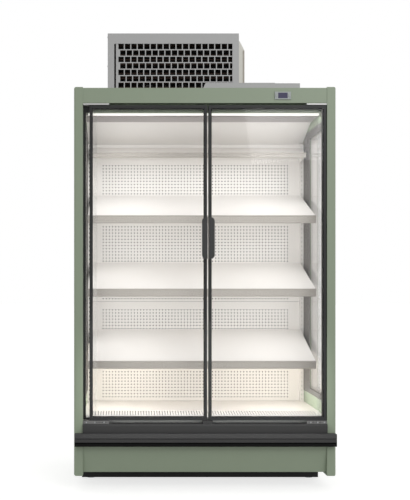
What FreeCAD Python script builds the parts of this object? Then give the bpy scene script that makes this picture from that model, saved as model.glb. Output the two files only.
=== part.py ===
"""Refrigerated merchandiser with two glass doors and a roof condensing unit.

Millimetres. +X is right as seen from the front, -Y is the front, +Z is up.
The origin lies on the floor, under the middle of the overall box.
"""
import FreeCAD
import Part
import Sketcher
import math
import os

# Driving dimensions, one plain number each
DIMENSIONS = {
    # Carcass
    "overall_width": 1330,
    "overall_depth": 780,
    "bumper_reach": 50,
    "end_thickness": 45,
    "panel_bottom": 75,
    "panel_height": 1975,
    "edge_radius": 10,
    "base_rail_height": 40,
    "base_rail_width": 60,
    "cross_member_width": 40,
    "tub_floor": 50,
    "tub_wall": 55,
    "tub_lip_rise": 26,
    "rear_wall_thickness": 50,
    "roof_thickness": 50,
    "roof_drop": 15,
    # Feet and kick plate
    "foot_diameter": 50,
    "foot_pad_height": 14,
    "stem_diameter": 16,
    "foot_inset": 30,
    "rear_rail_gap": 20,
    "kick_setback": 272,
    "kick_thickness": 1.5,
    "kick_floor_gap": 4,
    "kick_overhang": 18,
    # Front below the doors
    "bumper_rise": 155,
    "bumper_height": 63,
    "bumper_slope": 16,
    "bumper_groove": 4,
    "bumper_end_radius": 14,
    "bumper_end_inset": 4,
    "sill_height": 47,
    "sill_nose": 12,
    "sill_nose_chamfer": 8,
    "lower_panel_rise": 15,
    "lower_panel_recess": 4,
    "lower_panel_lean": 20,
    "lower_panel_sheet": 2,
    # Header, lamp and canopy
    "header_drop": 4,
    "header_height": 77,
    "header_recess": 2,
    "flange_height": 41,
    "flange_thickness": 20,
    "lamp_drop": 8,
    "lamp_height": 30,
    "lamp_depth": 22,
    "lamp_end_gap": 20,
    "canopy_rise": 10,
    "canopy_sheet": 3,
    "canopy_depth": 165,
    "outlet_depth": 105,
    "outlet_height": 20,
    # Doors
    "left_door_gap": 34,
    "door_thickness": 30,
    "door_recess": 2,
    "door_gap": 8,
    "door_side_gap": 4,
    "stile_width": 13,
    "top_rail_height": 15,
    "bottom_rail_height": 14,
    "pane_thickness": 4,
    "pane_inset": 1,
    "gasket_width": 12,
    "gasket_depth": 10,
    "gasket_gap": 0.5,
    "gasket_hinge_inset": 22,
    "gasket_inset": 3,
    "pivot_inset": 20,
    "pivot_depth": 10,
    "pin_radius": 5,
    "pin_clearance": 0.05,
    "pin_engagement": 10,
    "pin_end_gap": 1,
    "handle_height": 210,
    "handle_rise": 819,
    "handle_width": 28,
    "handle_reach": 28,
    "handle_thickness": 6,
    "handle_corner": 20,
    # Door surround
    "lower_plate_thickness": 16,
    "upper_plate_thickness": 6,
    "upper_plate_front": 2,
    "hinge_spacer": 3,
    "hinge_plate_play": 2,
    "hinge_top_play": 2,
    "hinge_plate_reach": 80,
    "hinge_plate_front": 2,
    "hinge_plate_chamfer": 12,
    "hinge_hole_diameter": 7,
    "hinge_hole_depth": 9,
    "hinge_hole_pitch": 17,
    "hinge_side_gap": 2,
    "catch_width": 50,
    "jamb_width": 13,
    "jamb_depth": 25,
    "jamb_cap": 3,
    "jamb_cap_gap": 2,
    "strip_thickness": 4,
    "strip_overlap": 4,
    # Side windows
    "window_front_gap": 10,
    "window_rise": 95,
    "window_drop": 76,
    "window_pane": 4,
    "window_pane_inset": 2,
    "trim_thickness": 3,
    "trim_bottom_rail": 28,
    "trim_top_rail": 43,
    "trim_rear_pillar": 150,
    "trim_rear_gap": 8.5,
    # Interior
    "deck_rise": 9,
    "deck_sheet": 3,
    "deck_flange": 20,
    "rear_duct": 110,
    "rear_panel_sheet": 3,
    "first_panel_height": 155,
    "last_panel_height": 75,
    "hood_drop": 88,
    "upright_width": 22,
    "upright_depth": 25,
    "shelf_end_gap": 20,
    "shelf_tilt": 21,
    "shelf_tray_height": 20,
    "shelf_sheet": 2,
    "shelf_front": 152,
    "top_shelf_depth": 155,
    "top_lip_drop": 74,
    "bottom_lip_rise": 269,
    "second_shelf_shift": 12,
    "third_shelf_shift": 3,
    "top_price_rail_height": 28,
    "price_rail_height": 42,
    "price_rail_thickness": 8,
    "shelf_seat_gap": 0.3,
    "shelf_below_lip": 4,
    "bracket_thickness": 3,
    "bracket_nose": 12,
    "bracket_root": 75,
    "bracket_setback": 25,
    "slot_pitch": 9.2,
    "slot_width": 5,
    "slot_margin": 5,
    "slot_end_margin": 23,
    "grille_run": 95,
    "grille_sheet": 2,
    # Air cooler under the deck
    "fan_plate_gap": 110,
    "fan_plate_sheet": 3,
    "cooler_fan_offset": 300,
    "cooler_fan_radius": 88,
    "cooler_fan_tip_gap": 5,
    "cooler_back_gap": 20,
    "cooler_depth": 160,
    "cooler_top_gap": 17,
    "cooler_side_gap": 40,
    # Fans and motors
    "hub_radius": 28,
    "hub_height": 26,
    "shaft_radius": 4,
    "shaft_seat": 1,
    "shaft_clearance": 0.05,
    "motor_radius": 40,
    "motor_length": 55,
    "motor_gap": 4,
    "motor_arm_width": 10,
    "blade_root_radius": 21,
    "blade_chord": 46,
    "blade_rise": 16,
    "blade_sheet": 3,
    # Roof condensing unit
    "unit_left_gap": 122,
    "unit_width": 701,
    "unit_setback": 220,
    "unit_back_gap": 60,
    "unit_height": 352,
    "unit_sheet": 2,
    "unit_tray_height": 8,
    "unit_frame_side": 35,
    "unit_frame_top": 55,
    "unit_mouth_rise": 35,
    "mesh_hole": 29,
    "mesh_first_hole": 22,
    "mesh_edge_gap": 9,
    "mesh_pitch": 34.5,
    "mesh_row_shift": 9.7,
    "mesh_sheet": 1.5,
    "mesh_margin": 26,
    "vent_height": 12,
    "vent_pitch": 28,
    "coil_gap": 28,
    "coil_depth": 50,
    "coil_side_gap": 25,
    "coil_top_gap": 40,
    "shroud_gap": 8,
    "shroud_sheet": 3,
    "condenser_fan_radius": 135,
    "condenser_fan_tip_gap": 6,
    "condenser_fan_inset": 308,
    "compressor_radius": 82,
    "compressor_height": 190,
    "compressor_dome": 30,
    "compressor_top_radius": 41,
    "compressor_offset": 110,
    "compressor_back_gap": 60,
    "cowl_width": 44,
    "cowl_height": 340,
    "cowl_slope_width": 27,
    "cowl_slope_height": 52,
    "cowl_setback": 100,
    "cowl_depth": 320,
    "trunk_right_gap": 110,
    "trunk_length": 524,
    "trunk_height": 67,
    "trunk_step": 2.5,
    "trunk_step_length": 131,
    "trunk_slant": 30,
    "trunk_depth": 90,
    "gland_radius": 12,
    "gland_bore": 7,
    "gland_length": 22,
    "gland_flange_radius": 16,
    "gland_flange": 4,
    "gland_height": 60,
    # Controller on the header
    "controller_inset": 225,
    "controller_width": 82,
    "controller_height": 38,
    "controller_rise": 18,
    "controller_depth": 6,
    "display_width": 48,
    "display_height": 28,
    "display_depth": 2,
    "key_width": 9,
    "key_height": 14,
    "key_proud": 1.5,
    "key_travel": 1,
    "key_stop_gap": 0.5,
    "key_clearance": 0.3,
}

COOLER_BLADES = 5
CONDENSER_BLADES = 6
MOTOR_ARMS = 3
FIRST_ARM = 90.0
REAR_PANELS = 5
HINGE_HOLES = 4

doc = FreeCAD.newDocument("merchandiser")
sheet = doc.addObject("Spreadsheet::Sheet", "dims")
for row, (name, number) in enumerate(DIMENSIONS.items(), start=1):
    sheet.set(f"A{row}", name)
    sheet.set(f"B{row}", str(number))
    sheet.setAlias(f"B{row}", name)
doc.recompute()

nodes = []


def value(formula):
    """The number that a formula of the sheet gives now."""
    return float(sheet.evalExpression(formula))


def node(label, shape_object):
    """Marks an object as a finished sub-part and names it."""
    shape_object.Label = label
    nodes.append(shape_object)
    return shape_object


def box(name, x, y, z):
    """A block between three pairs of bounds, each a formula of the sheet."""
    block = doc.addObject("Part::Box", name)
    for size, axis, (low, high) in (("Length", "x", x), ("Width", "y", y), ("Height", "z", z)):
        block.setExpression(size, f"({high}) - ({low})")
        block.setExpression(f"Placement.Base.{axis}", low)
    return block


def place(shape_object, x, y, z):
    """Binds an object's position to formulas of the sheet."""
    for axis, formula in (("x", x), ("y", y), ("z", z)):
        shape_object.setExpression(f"Placement.Base.{axis}", formula)
    return shape_object


def upright_cylinder(name, radius, height, x, y, z):
    """A cylinder along +Z that starts at the given point."""
    post = doc.addObject("Part::Cylinder", name)
    post.setExpression("Radius", radius)
    post.setExpression("Height", height)
    return place(post, x, y, z)


def level_cylinder(name, radius, length, x, y, z):
    """A cylinder along +Y that starts at the given point."""
    barrel = upright_cylinder(name, radius, length, x, y, z)
    barrel.Placement.Rotation = FreeCAD.Rotation(FreeCAD.Vector(1, 0, 0), -90)
    return barrel


def cut(name, base, *tools):
    """The base less each tool in turn."""
    result = base
    for tool in tools:
        step = doc.addObject("Part::Cut", name)
        step.Base = result
        step.Tool = tool
        result = step
    return result


def fuse(name, *pieces):
    """One solid from pieces that overlap or touch."""
    whole = doc.addObject("Part::MultiFuse", name)
    whole.Shapes = list(pieces)
    return whole


def group(name, *pieces):
    """Like pieces that stay separate solids."""
    whole = doc.addObject("Part::Compound", name)
    whole.Links = list(pieces)
    return whole


def origin_feature(body, role):
    """A body's own origin plane or axis."""
    return next(item for item in body.Origin.OriginFeatures if item.Role == role)


def outline(body, name, plane, corners):
    """A closed outline of straight lines, each corner at positive formulas."""
    sketch = body.newObject("Sketcher::SketchObject", name)
    sketch.AttachmentSupport = [(origin_feature(body, plane), "")]
    sketch.MapMode = "FlatFace"
    spots = [FreeCAD.Vector(value(u), value(v), 0) for u, v in corners]
    count = len(spots)
    for i in range(count):
        sketch.addGeometry(Part.LineSegment(spots[i], spots[(i + 1) % count]))
    for i in range(count):
        sketch.addConstraint(Sketcher.Constraint("Coincident", i, 2, (i + 1) % count, 1))
    for i, formulas in enumerate(corners):
        for kind, axis, formula in zip(("DistanceX", "DistanceY"), (-2, -1), formulas):
            if formula == "0":
                sketch.addConstraint(Sketcher.Constraint("PointOnObject", i, 1, axis))
            else:
                rule = Sketcher.Constraint(kind, -1, 1, i, 1, value(formula))
                index = sketch.addConstraint(rule)
                sketch.setExpression(f"Constraints[{index}]", formula)
    return sketch


def prism(name, plane, corners, length, base):
    """A body padded from an outline, away from its plane along +X, +Y or +Z."""
    body = doc.addObject("PartDesign::Body", name)
    pad = body.newObject("PartDesign::Pad", name + "_pad")
    pad.Profile = outline(body, name + "_outline", plane, corners)
    pad.setExpression("Length", length)
    pad.Reversed = plane == "XZ_Plane"
    return place(body, *base)


def round_edges(body, name, wanted, radius):
    """Fillets the edges of a body's last feature whose end points, in the body's own frame, pass a test."""
    doc.recompute()
    last = body.Tip
    names = []
    for index, edge in enumerate(last.Shape.Edges, start=1):
        if wanted(*[corner.Point for corner in edge.Vertexes]):
            names.append(f"Edge{index}")
    fillet = body.newObject("PartDesign::Fillet", name)
    fillet.Base = (last, names)
    fillet.setExpression("Radius", radius)
    return body


def near(a, b):
    return math.isclose(a, b, abs_tol=1e-6)


# Shared planes, as formulas of the sheet
HALF = "dims.overall_width / 2"
INNER = f"({HALF} - dims.end_thickness)"
BACK = "(dims.overall_depth / 2)"
PANEL_DEPTH = "(dims.overall_depth - dims.bumper_reach)"
FRONT = f"({BACK} - {PANEL_DEPTH})"
DOOR_FRONT = f"({FRONT} + dims.door_recess)"
DOOR_BACK = f"({DOOR_FRONT} + dims.door_thickness)"
SEAL = f"({DOOR_BACK} + dims.gasket_depth + dims.gasket_gap)"
TUB_BOTTOM = "(dims.panel_bottom + dims.base_rail_height)"
TUB_FLOOR_TOP = f"({TUB_BOTTOM} + dims.tub_floor)"
TUB_INNER = f"({SEAL} + dims.tub_wall)"
REAR_FACE = f"({BACK} - dims.rear_wall_thickness)"
HEADER_BACK = f"({SEAL} + dims.flange_thickness)"
HEADER_FRONT = f"({FRONT} + dims.header_recess)"
KICK = f"({FRONT} + dims.kick_setback)"
REAR_RAIL = f"({BACK} - dims.base_rail_width - dims.rear_rail_gap)"
DUCT_FRONT = f"({REAR_FACE} - dims.rear_duct - dims.rear_panel_sheet)"
DUCT_BACK = f"({REAR_FACE} - dims.rear_duct)"
UPRIGHT_FRONT = f"({DUCT_BACK} - dims.upright_depth)"
LAMP_BACK = f"({HEADER_BACK} + dims.lamp_depth)"
OUTLET_BACK = f"({LAMP_BACK} + dims.outlet_depth)"
CANOPY_BACK = f"({OUTLET_BACK} + dims.canopy_depth)"

# Levels, from the floor up and from the top of the end walls down
BUMPER_BOTTOM = "(dims.panel_bottom + dims.bumper_rise)"
SILL_TOP = f"({BUMPER_BOTTOM} + dims.bumper_height + dims.sill_height)"
LOWER_PANEL_BOTTOM = "(dims.panel_bottom + dims.lower_panel_rise)"
TUB_LIP = f"({SILL_TOP} + dims.tub_lip_rise)"
DECK_TOP = f"({TUB_LIP} + dims.deck_rise)"
DECK_BOTTOM = f"({DECK_TOP} - dims.deck_sheet)"
PANEL_TOP = "(dims.panel_bottom + dims.panel_height)"
ROOF_TOP = f"({PANEL_TOP} - dims.roof_drop)"
ROOF_BOTTOM = f"({ROOF_TOP} - dims.roof_thickness)"
HEADER_TOP = f"({PANEL_TOP} - dims.header_drop)"
HEADER_BOTTOM = f"({HEADER_TOP} - dims.header_height)"
FLANGE_BOTTOM = f"({HEADER_BOTTOM} - dims.flange_height)"
CANOPY = f"({FLANGE_BOTTOM} + dims.canopy_rise)"
HOOD_BOTTOM = f"({CANOPY} - dims.hood_drop)"
WINDOW_BOTTOM = f"({DECK_TOP} + dims.window_rise)"
WINDOW_TOP = f"({FLANGE_BOTTOM} - dims.window_drop)"
FULL_WIDTH = (f"-{INNER}", INNER)


# Base and feet
def base_frame():
    """Two rails along the cabinet and three members across, under the tub."""
    height = ("dims.panel_bottom", TUB_BOTTOM)
    rails = []
    for side, y in (("front", KICK), ("rear", REAR_RAIL)):
        rails.append(box(f"base_rail_{side}", FULL_WIDTH, (y, f"{y} + dims.base_rail_width"), height))
    between = (f"{KICK} + dims.base_rail_width", REAR_RAIL)
    half = "dims.cross_member_width / 2"
    for place_name, x in (("left", f"-{INNER} + {half}"), ("middle", "0"), ("right", f"{INNER} - {half}")):
        rails.append(box(f"base_member_{place_name}", (f"{x} - {half}", f"{x} + {half}"), between, height))
    node("base_frame", group("base_frame", *rails))


def levelling_feet():
    """A round pad and a stem under each end of both rails."""
    feet = []
    for x in (f"-{INNER} + dims.foot_inset", f"{INNER} - dims.foot_inset"):
        for y in (f"{KICK} + dims.base_rail_width / 2", f"{REAR_RAIL} + dims.base_rail_width / 2"):
            pad = upright_cylinder("foot_pad", "dims.foot_diameter / 2", "dims.foot_pad_height", x, y, "0")
            stem = upright_cylinder("foot_stem", "dims.stem_diameter / 2", "dims.panel_bottom", x, y, "0")
            feet.append(fuse("foot", pad, stem))
    node("levelling_feet", group("levelling_feet", *feet))


def kick_plate():
    reach = f"({INNER} + dims.kick_overhang)"
    depth = (KICK, f"{KICK} + dims.kick_thickness")
    height = ("dims.kick_floor_gap", "dims.panel_bottom")
    node("kick_plate", box("kick_plate", (f"-{reach}", reach), depth, height))


# Insulated carcass
def insulated_tub():
    """A foamed trough: a floor and a front wall that the doors seal on."""
    depth = f"({REAR_FACE} - {SEAL})"
    height = f"({TUB_LIP} - {TUB_BOTTOM})"
    corners = [
        ("0", "0"),
        (depth, "0"),
        (depth, "dims.tub_floor"),
        ("dims.tub_wall", "dims.tub_floor"),
        ("dims.tub_wall", height),
        ("0", height),
    ]
    node("insulated_tub", prism("tub", "YZ_Plane", corners, f"2 * {INNER}", (f"-{INNER}", SEAL, TUB_BOTTOM)))


def carcass_walls():
    node("rear_wall", box("rear_wall", FULL_WIDTH, (REAR_FACE, BACK), (TUB_BOTTOM, ROOF_BOTTOM)))
    node("roof_panel", box("roof_panel", FULL_WIDTH, (HEADER_BACK, BACK), (ROOF_BOTTOM, ROOF_TOP)))


WINDOW_FRONT = f"({SEAL} + dims.jamb_depth + dims.window_front_gap)"
TRIM_BACK = f"({UPRIGHT_FRONT} - dims.trim_rear_gap)"
WINDOW_BACK = f"({TRIM_BACK} - dims.trim_rear_pillar)"
WINDOW_HEIGHT = (WINDOW_BOTTOM, WINDOW_TOP)


def end_panels():
    """Foamed end walls with rounded outer edges and a window cut through."""
    height = f"({PANEL_TOP} - dims.panel_bottom)"
    corners = [("0", "0"), (PANEL_DEPTH, "0"), (PANEL_DEPTH, height), ("0", height)]
    for side, base, outer in (("left", f"-{HALF}", "0"), ("right", INNER, "dims.end_thickness")):
        corner = (base, FRONT, "dims.panel_bottom")
        body = prism(f"{side}_end", "YZ_Plane", corners, "dims.end_thickness", corner)
        face = value(outer)

        def on_outer_face(a, b, x=face):
            return near(a.x, x) and near(b.x, x)

        round_edges(body, f"{side}_end_edges", on_outer_face, "dims.edge_radius")
        window = box(
            f"{side}_window_cut",
            (base, f"{base} + dims.end_thickness"),
            (WINDOW_FRONT, WINDOW_BACK),
            WINDOW_HEIGHT,
        )
        node(f"{side}_end_panel", cut(f"{side}_end_cut", body, window))


def side_windows():
    """Two panes in each end wall, and a flat trim round them on the inside."""
    panes = []
    trims = []
    depth = (WINDOW_FRONT, WINDOW_BACK)
    outer_pane = (f"{HALF} - dims.window_pane_inset - dims.window_pane", f"{HALF} - dims.window_pane_inset")
    inner_pane = (f"{INNER} + dims.window_pane_inset", f"{INNER} + dims.window_pane_inset + dims.window_pane")
    trim = (f"{INNER} - dims.trim_thickness", INNER)
    trim_depth = (f"{SEAL} + dims.jamb_depth", TRIM_BACK)
    trim_height = (f"{WINDOW_BOTTOM} - dims.trim_bottom_rail", f"{WINDOW_TOP} + dims.trim_top_rail")
    for side in ("left", "right"):
        for low, high in (outer_pane, inner_pane):
            x = (low, high) if side == "right" else (f"-({high})", f"-({low})")
            panes.append(box(f"{side}_pane", x, depth, WINDOW_HEIGHT))
        x = trim if side == "right" else (f"-{INNER}", f"-{INNER} + dims.trim_thickness")
        sheet_box = box(f"{side}_trim_sheet", x, trim_depth, trim_height)
        hole = box(f"{side}_trim_hole", x, depth, WINDOW_HEIGHT)
        trims.append(cut(f"{side}_trim", sheet_box, hole))
    node("window_glass", group("window_glass", *panes))
    node("window_trims", group("window_trims", *trims))


# Front below the doors
def bumper():
    """A full-width guard rail with two grooves, its plan rounded at both ends."""
    depth = "dims.bumper_reach"
    high = "dims.bumper_height"
    slope = "dims.bumper_slope"
    groove = "dims.bumper_groove"
    corners = [
        ("0", slope),
        (slope, "0"),
        (depth, "0"),
        (depth, high),
        (slope, high),
        ("0", f"{high} - {slope}"),
        ("0", f"{high} - {slope} - {groove}"),
        (groove, f"{high} - {slope} - {groove}"),
        (groove, f"{high} - {slope} - 2 * {groove}"),
        ("0", f"{high} - {slope} - 2 * {groove}"),
        ("0", f"{slope} + 2 * {groove}"),
        (groove, f"{slope} + 2 * {groove}"),
        (groove, f"{slope} + {groove}"),
        ("0", f"{slope} + {groove}"),
    ]
    corner = (f"-{HALF} + dims.bumper_end_inset", f"-{BACK}", BUMPER_BOTTOM)
    length = "(dims.overall_width - 2 * dims.bumper_end_inset)"
    rail = prism("bumper_rail", "YZ_Plane", corners, length, corner)
    plan_corners = [("0", "0"), (length, "0"), (length, depth), ("0", depth)]
    plan = prism("bumper_plan", "XY_Plane", plan_corners, high, corner)

    def front_corner(a, b):
        return near(a.y, 0) and near(b.y, 0) and near(a.x, b.x)

    round_edges(plan, "bumper_ends", front_corner, "dims.bumper_end_radius")
    common = doc.addObject("Part::Common", "bumper_common")
    common.Base = rail
    common.Tool = plan
    node("bumper", common)


def front_sill():
    """A moulded ledge in front of the tub, which the hinge plates stand on."""
    nose = "dims.sill_nose"
    back = f"({SEAL} - {FRONT} + {nose})"
    foot = "dims.bumper_height"
    high = f"({SILL_TOP} - {BUMPER_BOTTOM})"
    corners = [
        (nose, "0"),
        (back, "0"),
        (back, high),
        ("dims.sill_nose_chamfer", high),
        ("0", f"{high} - dims.sill_nose_chamfer"),
        ("0", foot),
        (nose, foot),
    ]
    base = (f"-{INNER}", f"{FRONT} - {nose}", BUMPER_BOTTOM)
    node("front_sill", prism("sill", "YZ_Plane", corners, f"2 * {INNER}", base))


def lower_front_panel():
    """A sheet panel that leans back towards its foot, with returns at both edges."""
    skin = "dims.lower_panel_sheet"
    lean = "dims.lower_panel_lean"
    high = f"({BUMPER_BOTTOM} - {LOWER_PANEL_BOTTOM})"
    back = f"({SEAL} - {FRONT} - dims.lower_panel_recess)"
    corners = [
        (lean, "0"),
        (back, "0"),
        (back, skin),
        (f"{lean} + {skin}", skin),
        (skin, f"{high} - {skin}"),
        (back, f"{high} - {skin}"),
        (back, high),
        ("0", high),
    ]
    base = (f"-{INNER}", f"{FRONT} + dims.lower_panel_recess", LOWER_PANEL_BOTTOM)
    node("lower_front_panel", prism("lower_panel", "YZ_Plane", corners, f"2 * {INNER}", base))


# Header, lamp and canopy
def header_panel():
    """A foamed header whose rear flange hangs down behind the door tops."""
    back = f"({HEADER_BACK} - {HEADER_FRONT})"
    flange = f"({SEAL} - {HEADER_FRONT})"
    drop = f"({HEADER_BOTTOM} - {FLANGE_BOTTOM})"
    high = f"({HEADER_TOP} - {FLANGE_BOTTOM})"
    corners = [(flange, "0"), (back, "0"), (back, high), ("0", high), ("0", drop), (flange, drop)]
    base = (f"-{INNER}", HEADER_FRONT, FLANGE_BOTTOM)
    node("header_panel", prism("header", "YZ_Plane", corners, f"2 * {INNER}", base))


def canopy():
    """The lamp, the air outlet and the sheets between them and the rear duct."""
    lamp_low = f"({FLANGE_BOTTOM} - dims.lamp_drop)"
    lamp_width = (f"-{INNER} + dims.lamp_end_gap", f"{INNER} - dims.lamp_end_gap")
    lamp = box("lamp", lamp_width, (HEADER_BACK, LAMP_BACK), (lamp_low, f"{lamp_low} + dims.lamp_height"))
    node("canopy_lamp", lamp)
    low = CANOPY
    outlet = box("outlet", FULL_WIDTH, (LAMP_BACK, OUTLET_BACK), (low, f"{low} + dims.outlet_height"))
    node("air_outlet", outlet)
    sheet_top = f"{low} + dims.canopy_sheet"
    node("canopy_panel", box("canopy", FULL_WIDTH, (OUTLET_BACK, CANOPY_BACK), (low, sheet_top)))
    run = f"({DUCT_BACK} - {CANOPY_BACK})"
    rise = f"({low} - {HOOD_BOTTOM})"
    skin = "dims.canopy_sheet"
    corners = [("0", rise), (run, "0"), (run, skin), ("0", f"{rise} + {skin}")]
    clear = f"({INNER} - dims.trim_thickness)"
    base = (f"-{clear}", CANOPY_BACK, HOOD_BOTTOM)
    node("rear_hood", prism("hood", "YZ_Plane", corners, f"2 * {clear}", base))


# Doors
DOOR_GAPS = "(dims.left_door_gap + dims.door_gap + dims.door_side_gap)"
DOOR_WIDTH = f"({INNER} - {DOOR_GAPS} / 2)"
RIGHT_OUTER = f"({INNER} - dims.door_side_gap)"
RIGHT_FREE = f"({RIGHT_OUTER} - {DOOR_WIDTH})"
LEFT_FREE = f"({RIGHT_FREE} - dims.door_gap)"
LEFT_OUTER = f"({LEFT_FREE} - {DOOR_WIDTH})"
PIVOT_Y = f"({DOOR_FRONT} + dims.pivot_depth)"
LEFT_PIVOT = f"({LEFT_OUTER} + dims.pivot_inset)"
RIGHT_PIVOT = f"({RIGHT_OUTER} - dims.pivot_inset)"
BOTTOM_PLATE_TOP = f"({SILL_TOP} + dims.lower_plate_thickness)"
TOP_PLATE_TOP = f"({HEADER_BOTTOM} - dims.hinge_spacer)"
TOP_PLATE_BOTTOM = f"({TOP_PLATE_TOP} - dims.upper_plate_thickness)"
DOOR_BOTTOM = f"({BOTTOM_PLATE_TOP} + dims.hinge_plate_play)"
DOOR_TOP = f"({TOP_PLATE_BOTTOM} - dims.hinge_top_play)"
HANDLE_BOTTOM = f"({DOOR_BOTTOM} + dims.handle_rise)"


def door(side, low, high, pivot):
    """A slim frame with two panes, a gasket behind and a pull at the free edge."""
    depth = (DOOR_FRONT, DOOR_BACK)
    glass_x = (f"{low} + dims.stile_width", f"{high} - dims.stile_width")
    glass_z = (f"{DOOR_BOTTOM} + dims.bottom_rail_height", f"{DOOR_TOP} - dims.top_rail_height")
    leaf = box(f"{side}_leaf", (low, high), depth, (DOOR_BOTTOM, DOOR_TOP))
    opening = box(f"{side}_opening", glass_x, depth, glass_z)
    bore = "dims.pin_radius + dims.pin_clearance"
    bore_depth = "(dims.pin_engagement + dims.pin_end_gap)"
    lower_bore = upright_cylinder(f"{side}_lower_bore", bore, bore_depth, pivot, PIVOT_Y, DOOR_BOTTOM)
    upper_start = f"{DOOR_TOP} - {bore_depth}"
    upper_bore = upright_cylinder(f"{side}_upper_bore", bore, bore_depth, pivot, PIVOT_Y, upper_start)
    node(f"{side}_door_frame", cut(f"{side}_frame", leaf, opening, lower_bore, upper_bore))

    front_pane = (f"{DOOR_FRONT} + dims.pane_inset", f"{DOOR_FRONT} + dims.pane_inset + dims.pane_thickness")
    rear_pane = (f"{DOOR_BACK} - dims.pane_inset - dims.pane_thickness", f"{DOOR_BACK} - dims.pane_inset")
    panes = [box(f"{side}_door_pane", glass_x, y, glass_z) for y in (front_pane, rear_pane)]
    node(f"{side}_door_glass", group(f"{side}_glass", *panes))

    hinge_inset = "dims.gasket_hinge_inset"
    inset = "dims.gasket_inset"
    if side == "left":
        seal_x = (f"{low} + {hinge_inset}", f"{high} - {inset}")
    else:
        seal_x = (f"{low} + {inset}", f"{high} - {hinge_inset}")
    seal_z = (f"{DOOR_BOTTOM} + {inset}", f"{DOOR_TOP} - {inset}")
    seal_y = (DOOR_BACK, f"{DOOR_BACK} + dims.gasket_depth")
    ring = box(f"{side}_seal_block", seal_x, seal_y, seal_z)
    width = "dims.gasket_width"
    inner_x, inner_z = [(f"{a} + {width}", f"{b} - {width}") for a, b in (seal_x, seal_z)]
    node(f"{side}_door_gasket", cut(f"{side}_seal", ring, box(f"{side}_seal_hole", inner_x, seal_y, inner_z)))


def door_handle(side, free_edge):
    """An angle pull: a web on the free edge and a grip that leaves a finger gap."""
    wide = "dims.handle_width"
    thick = "dims.handle_thickness"
    reach = "dims.handle_reach"
    if side == "left":
        corners = [("0", "0"), (wide, "0"), (wide, reach), (f"{wide} - {thick}", reach)]
        corners += [(f"{wide} - {thick}", thick), ("0", thick)]
        start = f"{free_edge} - {wide}"
        grip_edge = 0
    else:
        corners = [("0", "0"), (wide, "0"), (wide, thick), (thick, thick), (thick, reach), ("0", reach)]
        start = free_edge
        grip_edge = value(wide)
    base = (start, f"{DOOR_FRONT} - {reach}", HANDLE_BOTTOM)
    body = prism(f"{side}_handle", "XY_Plane", corners, "dims.handle_height", base)

    def grip_corner(a, b):
        return near(a.x, grip_edge) and near(b.x, grip_edge) and near(a.z, b.z)

    round_edges(body, f"{side}_handle_corners", grip_corner, "dims.handle_corner")
    node(f"{side}_door_handle", body)


# Door surround
def hinge_plate(side, level, z):
    """A plate with a cut corner and a pivot pin, drilled in front if it is a lower one."""
    pivot = LEFT_PIVOT if side == "left" else RIGHT_PIVOT
    if side == "left":
        length = f"({pivot} + dims.hinge_plate_reach + {INNER} - dims.hinge_side_gap)"
    else:
        length = f"({INNER} - dims.hinge_side_gap - {pivot} + dims.hinge_plate_reach)"
    proud = "dims.hinge_plate_front" if level == "lower" else "dims.upper_plate_front"
    front = f"({FRONT} - {proud})"
    depth = f"({DOOR_BACK} + dims.pane_inset - {front})"
    chamfer = "dims.hinge_plate_chamfer"
    if side == "left":
        start = f"-{INNER} + dims.hinge_side_gap"
        corners = [("0", "0"), (length, "0"), (f"{length} - {chamfer}", depth), ("0", depth)]
    else:
        start = f"{pivot} - dims.hinge_plate_reach"
        corners = [("0", "0"), (length, "0"), (length, depth), (chamfer, depth)]
    low, high = z
    plate = prism(f"{side}_{level}_plate", "XY_Plane", corners, f"{high} - {low}", (start, front, low))
    holes = []
    inboard = 1 if side == "left" else -1
    for i in range(HINGE_HOLES if level == "lower" else 0):
        x = f"{pivot} + {inboard} * (dims.hinge_plate_reach - dims.hinge_hole_pitch * {i + 1})"
        hole = level_cylinder(
            f"{side}_{level}_hole",
            "dims.hinge_hole_diameter / 2",
            "dims.hinge_hole_depth",
            x,
            front,
            f"({low} + {high}) / 2",
        )
        holes.append(hole)
    drilled = cut(f"{side}_{level}_drilled", plate, *holes)
    reach = "dims.pin_engagement"
    if level == "lower":
        pin_start = high
        pin_length = f"{reach} + dims.hinge_plate_play"
    else:
        pin_length = f"({reach} + dims.hinge_top_play)"
        pin_start = f"{low} - {pin_length}"
    pin = upright_cylinder(f"{side}_{level}_pin", "dims.pin_radius", pin_length, pivot, PIVOT_Y, pin_start)
    return fuse(f"{side}_{level}_hinge", drilled, pin)


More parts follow.
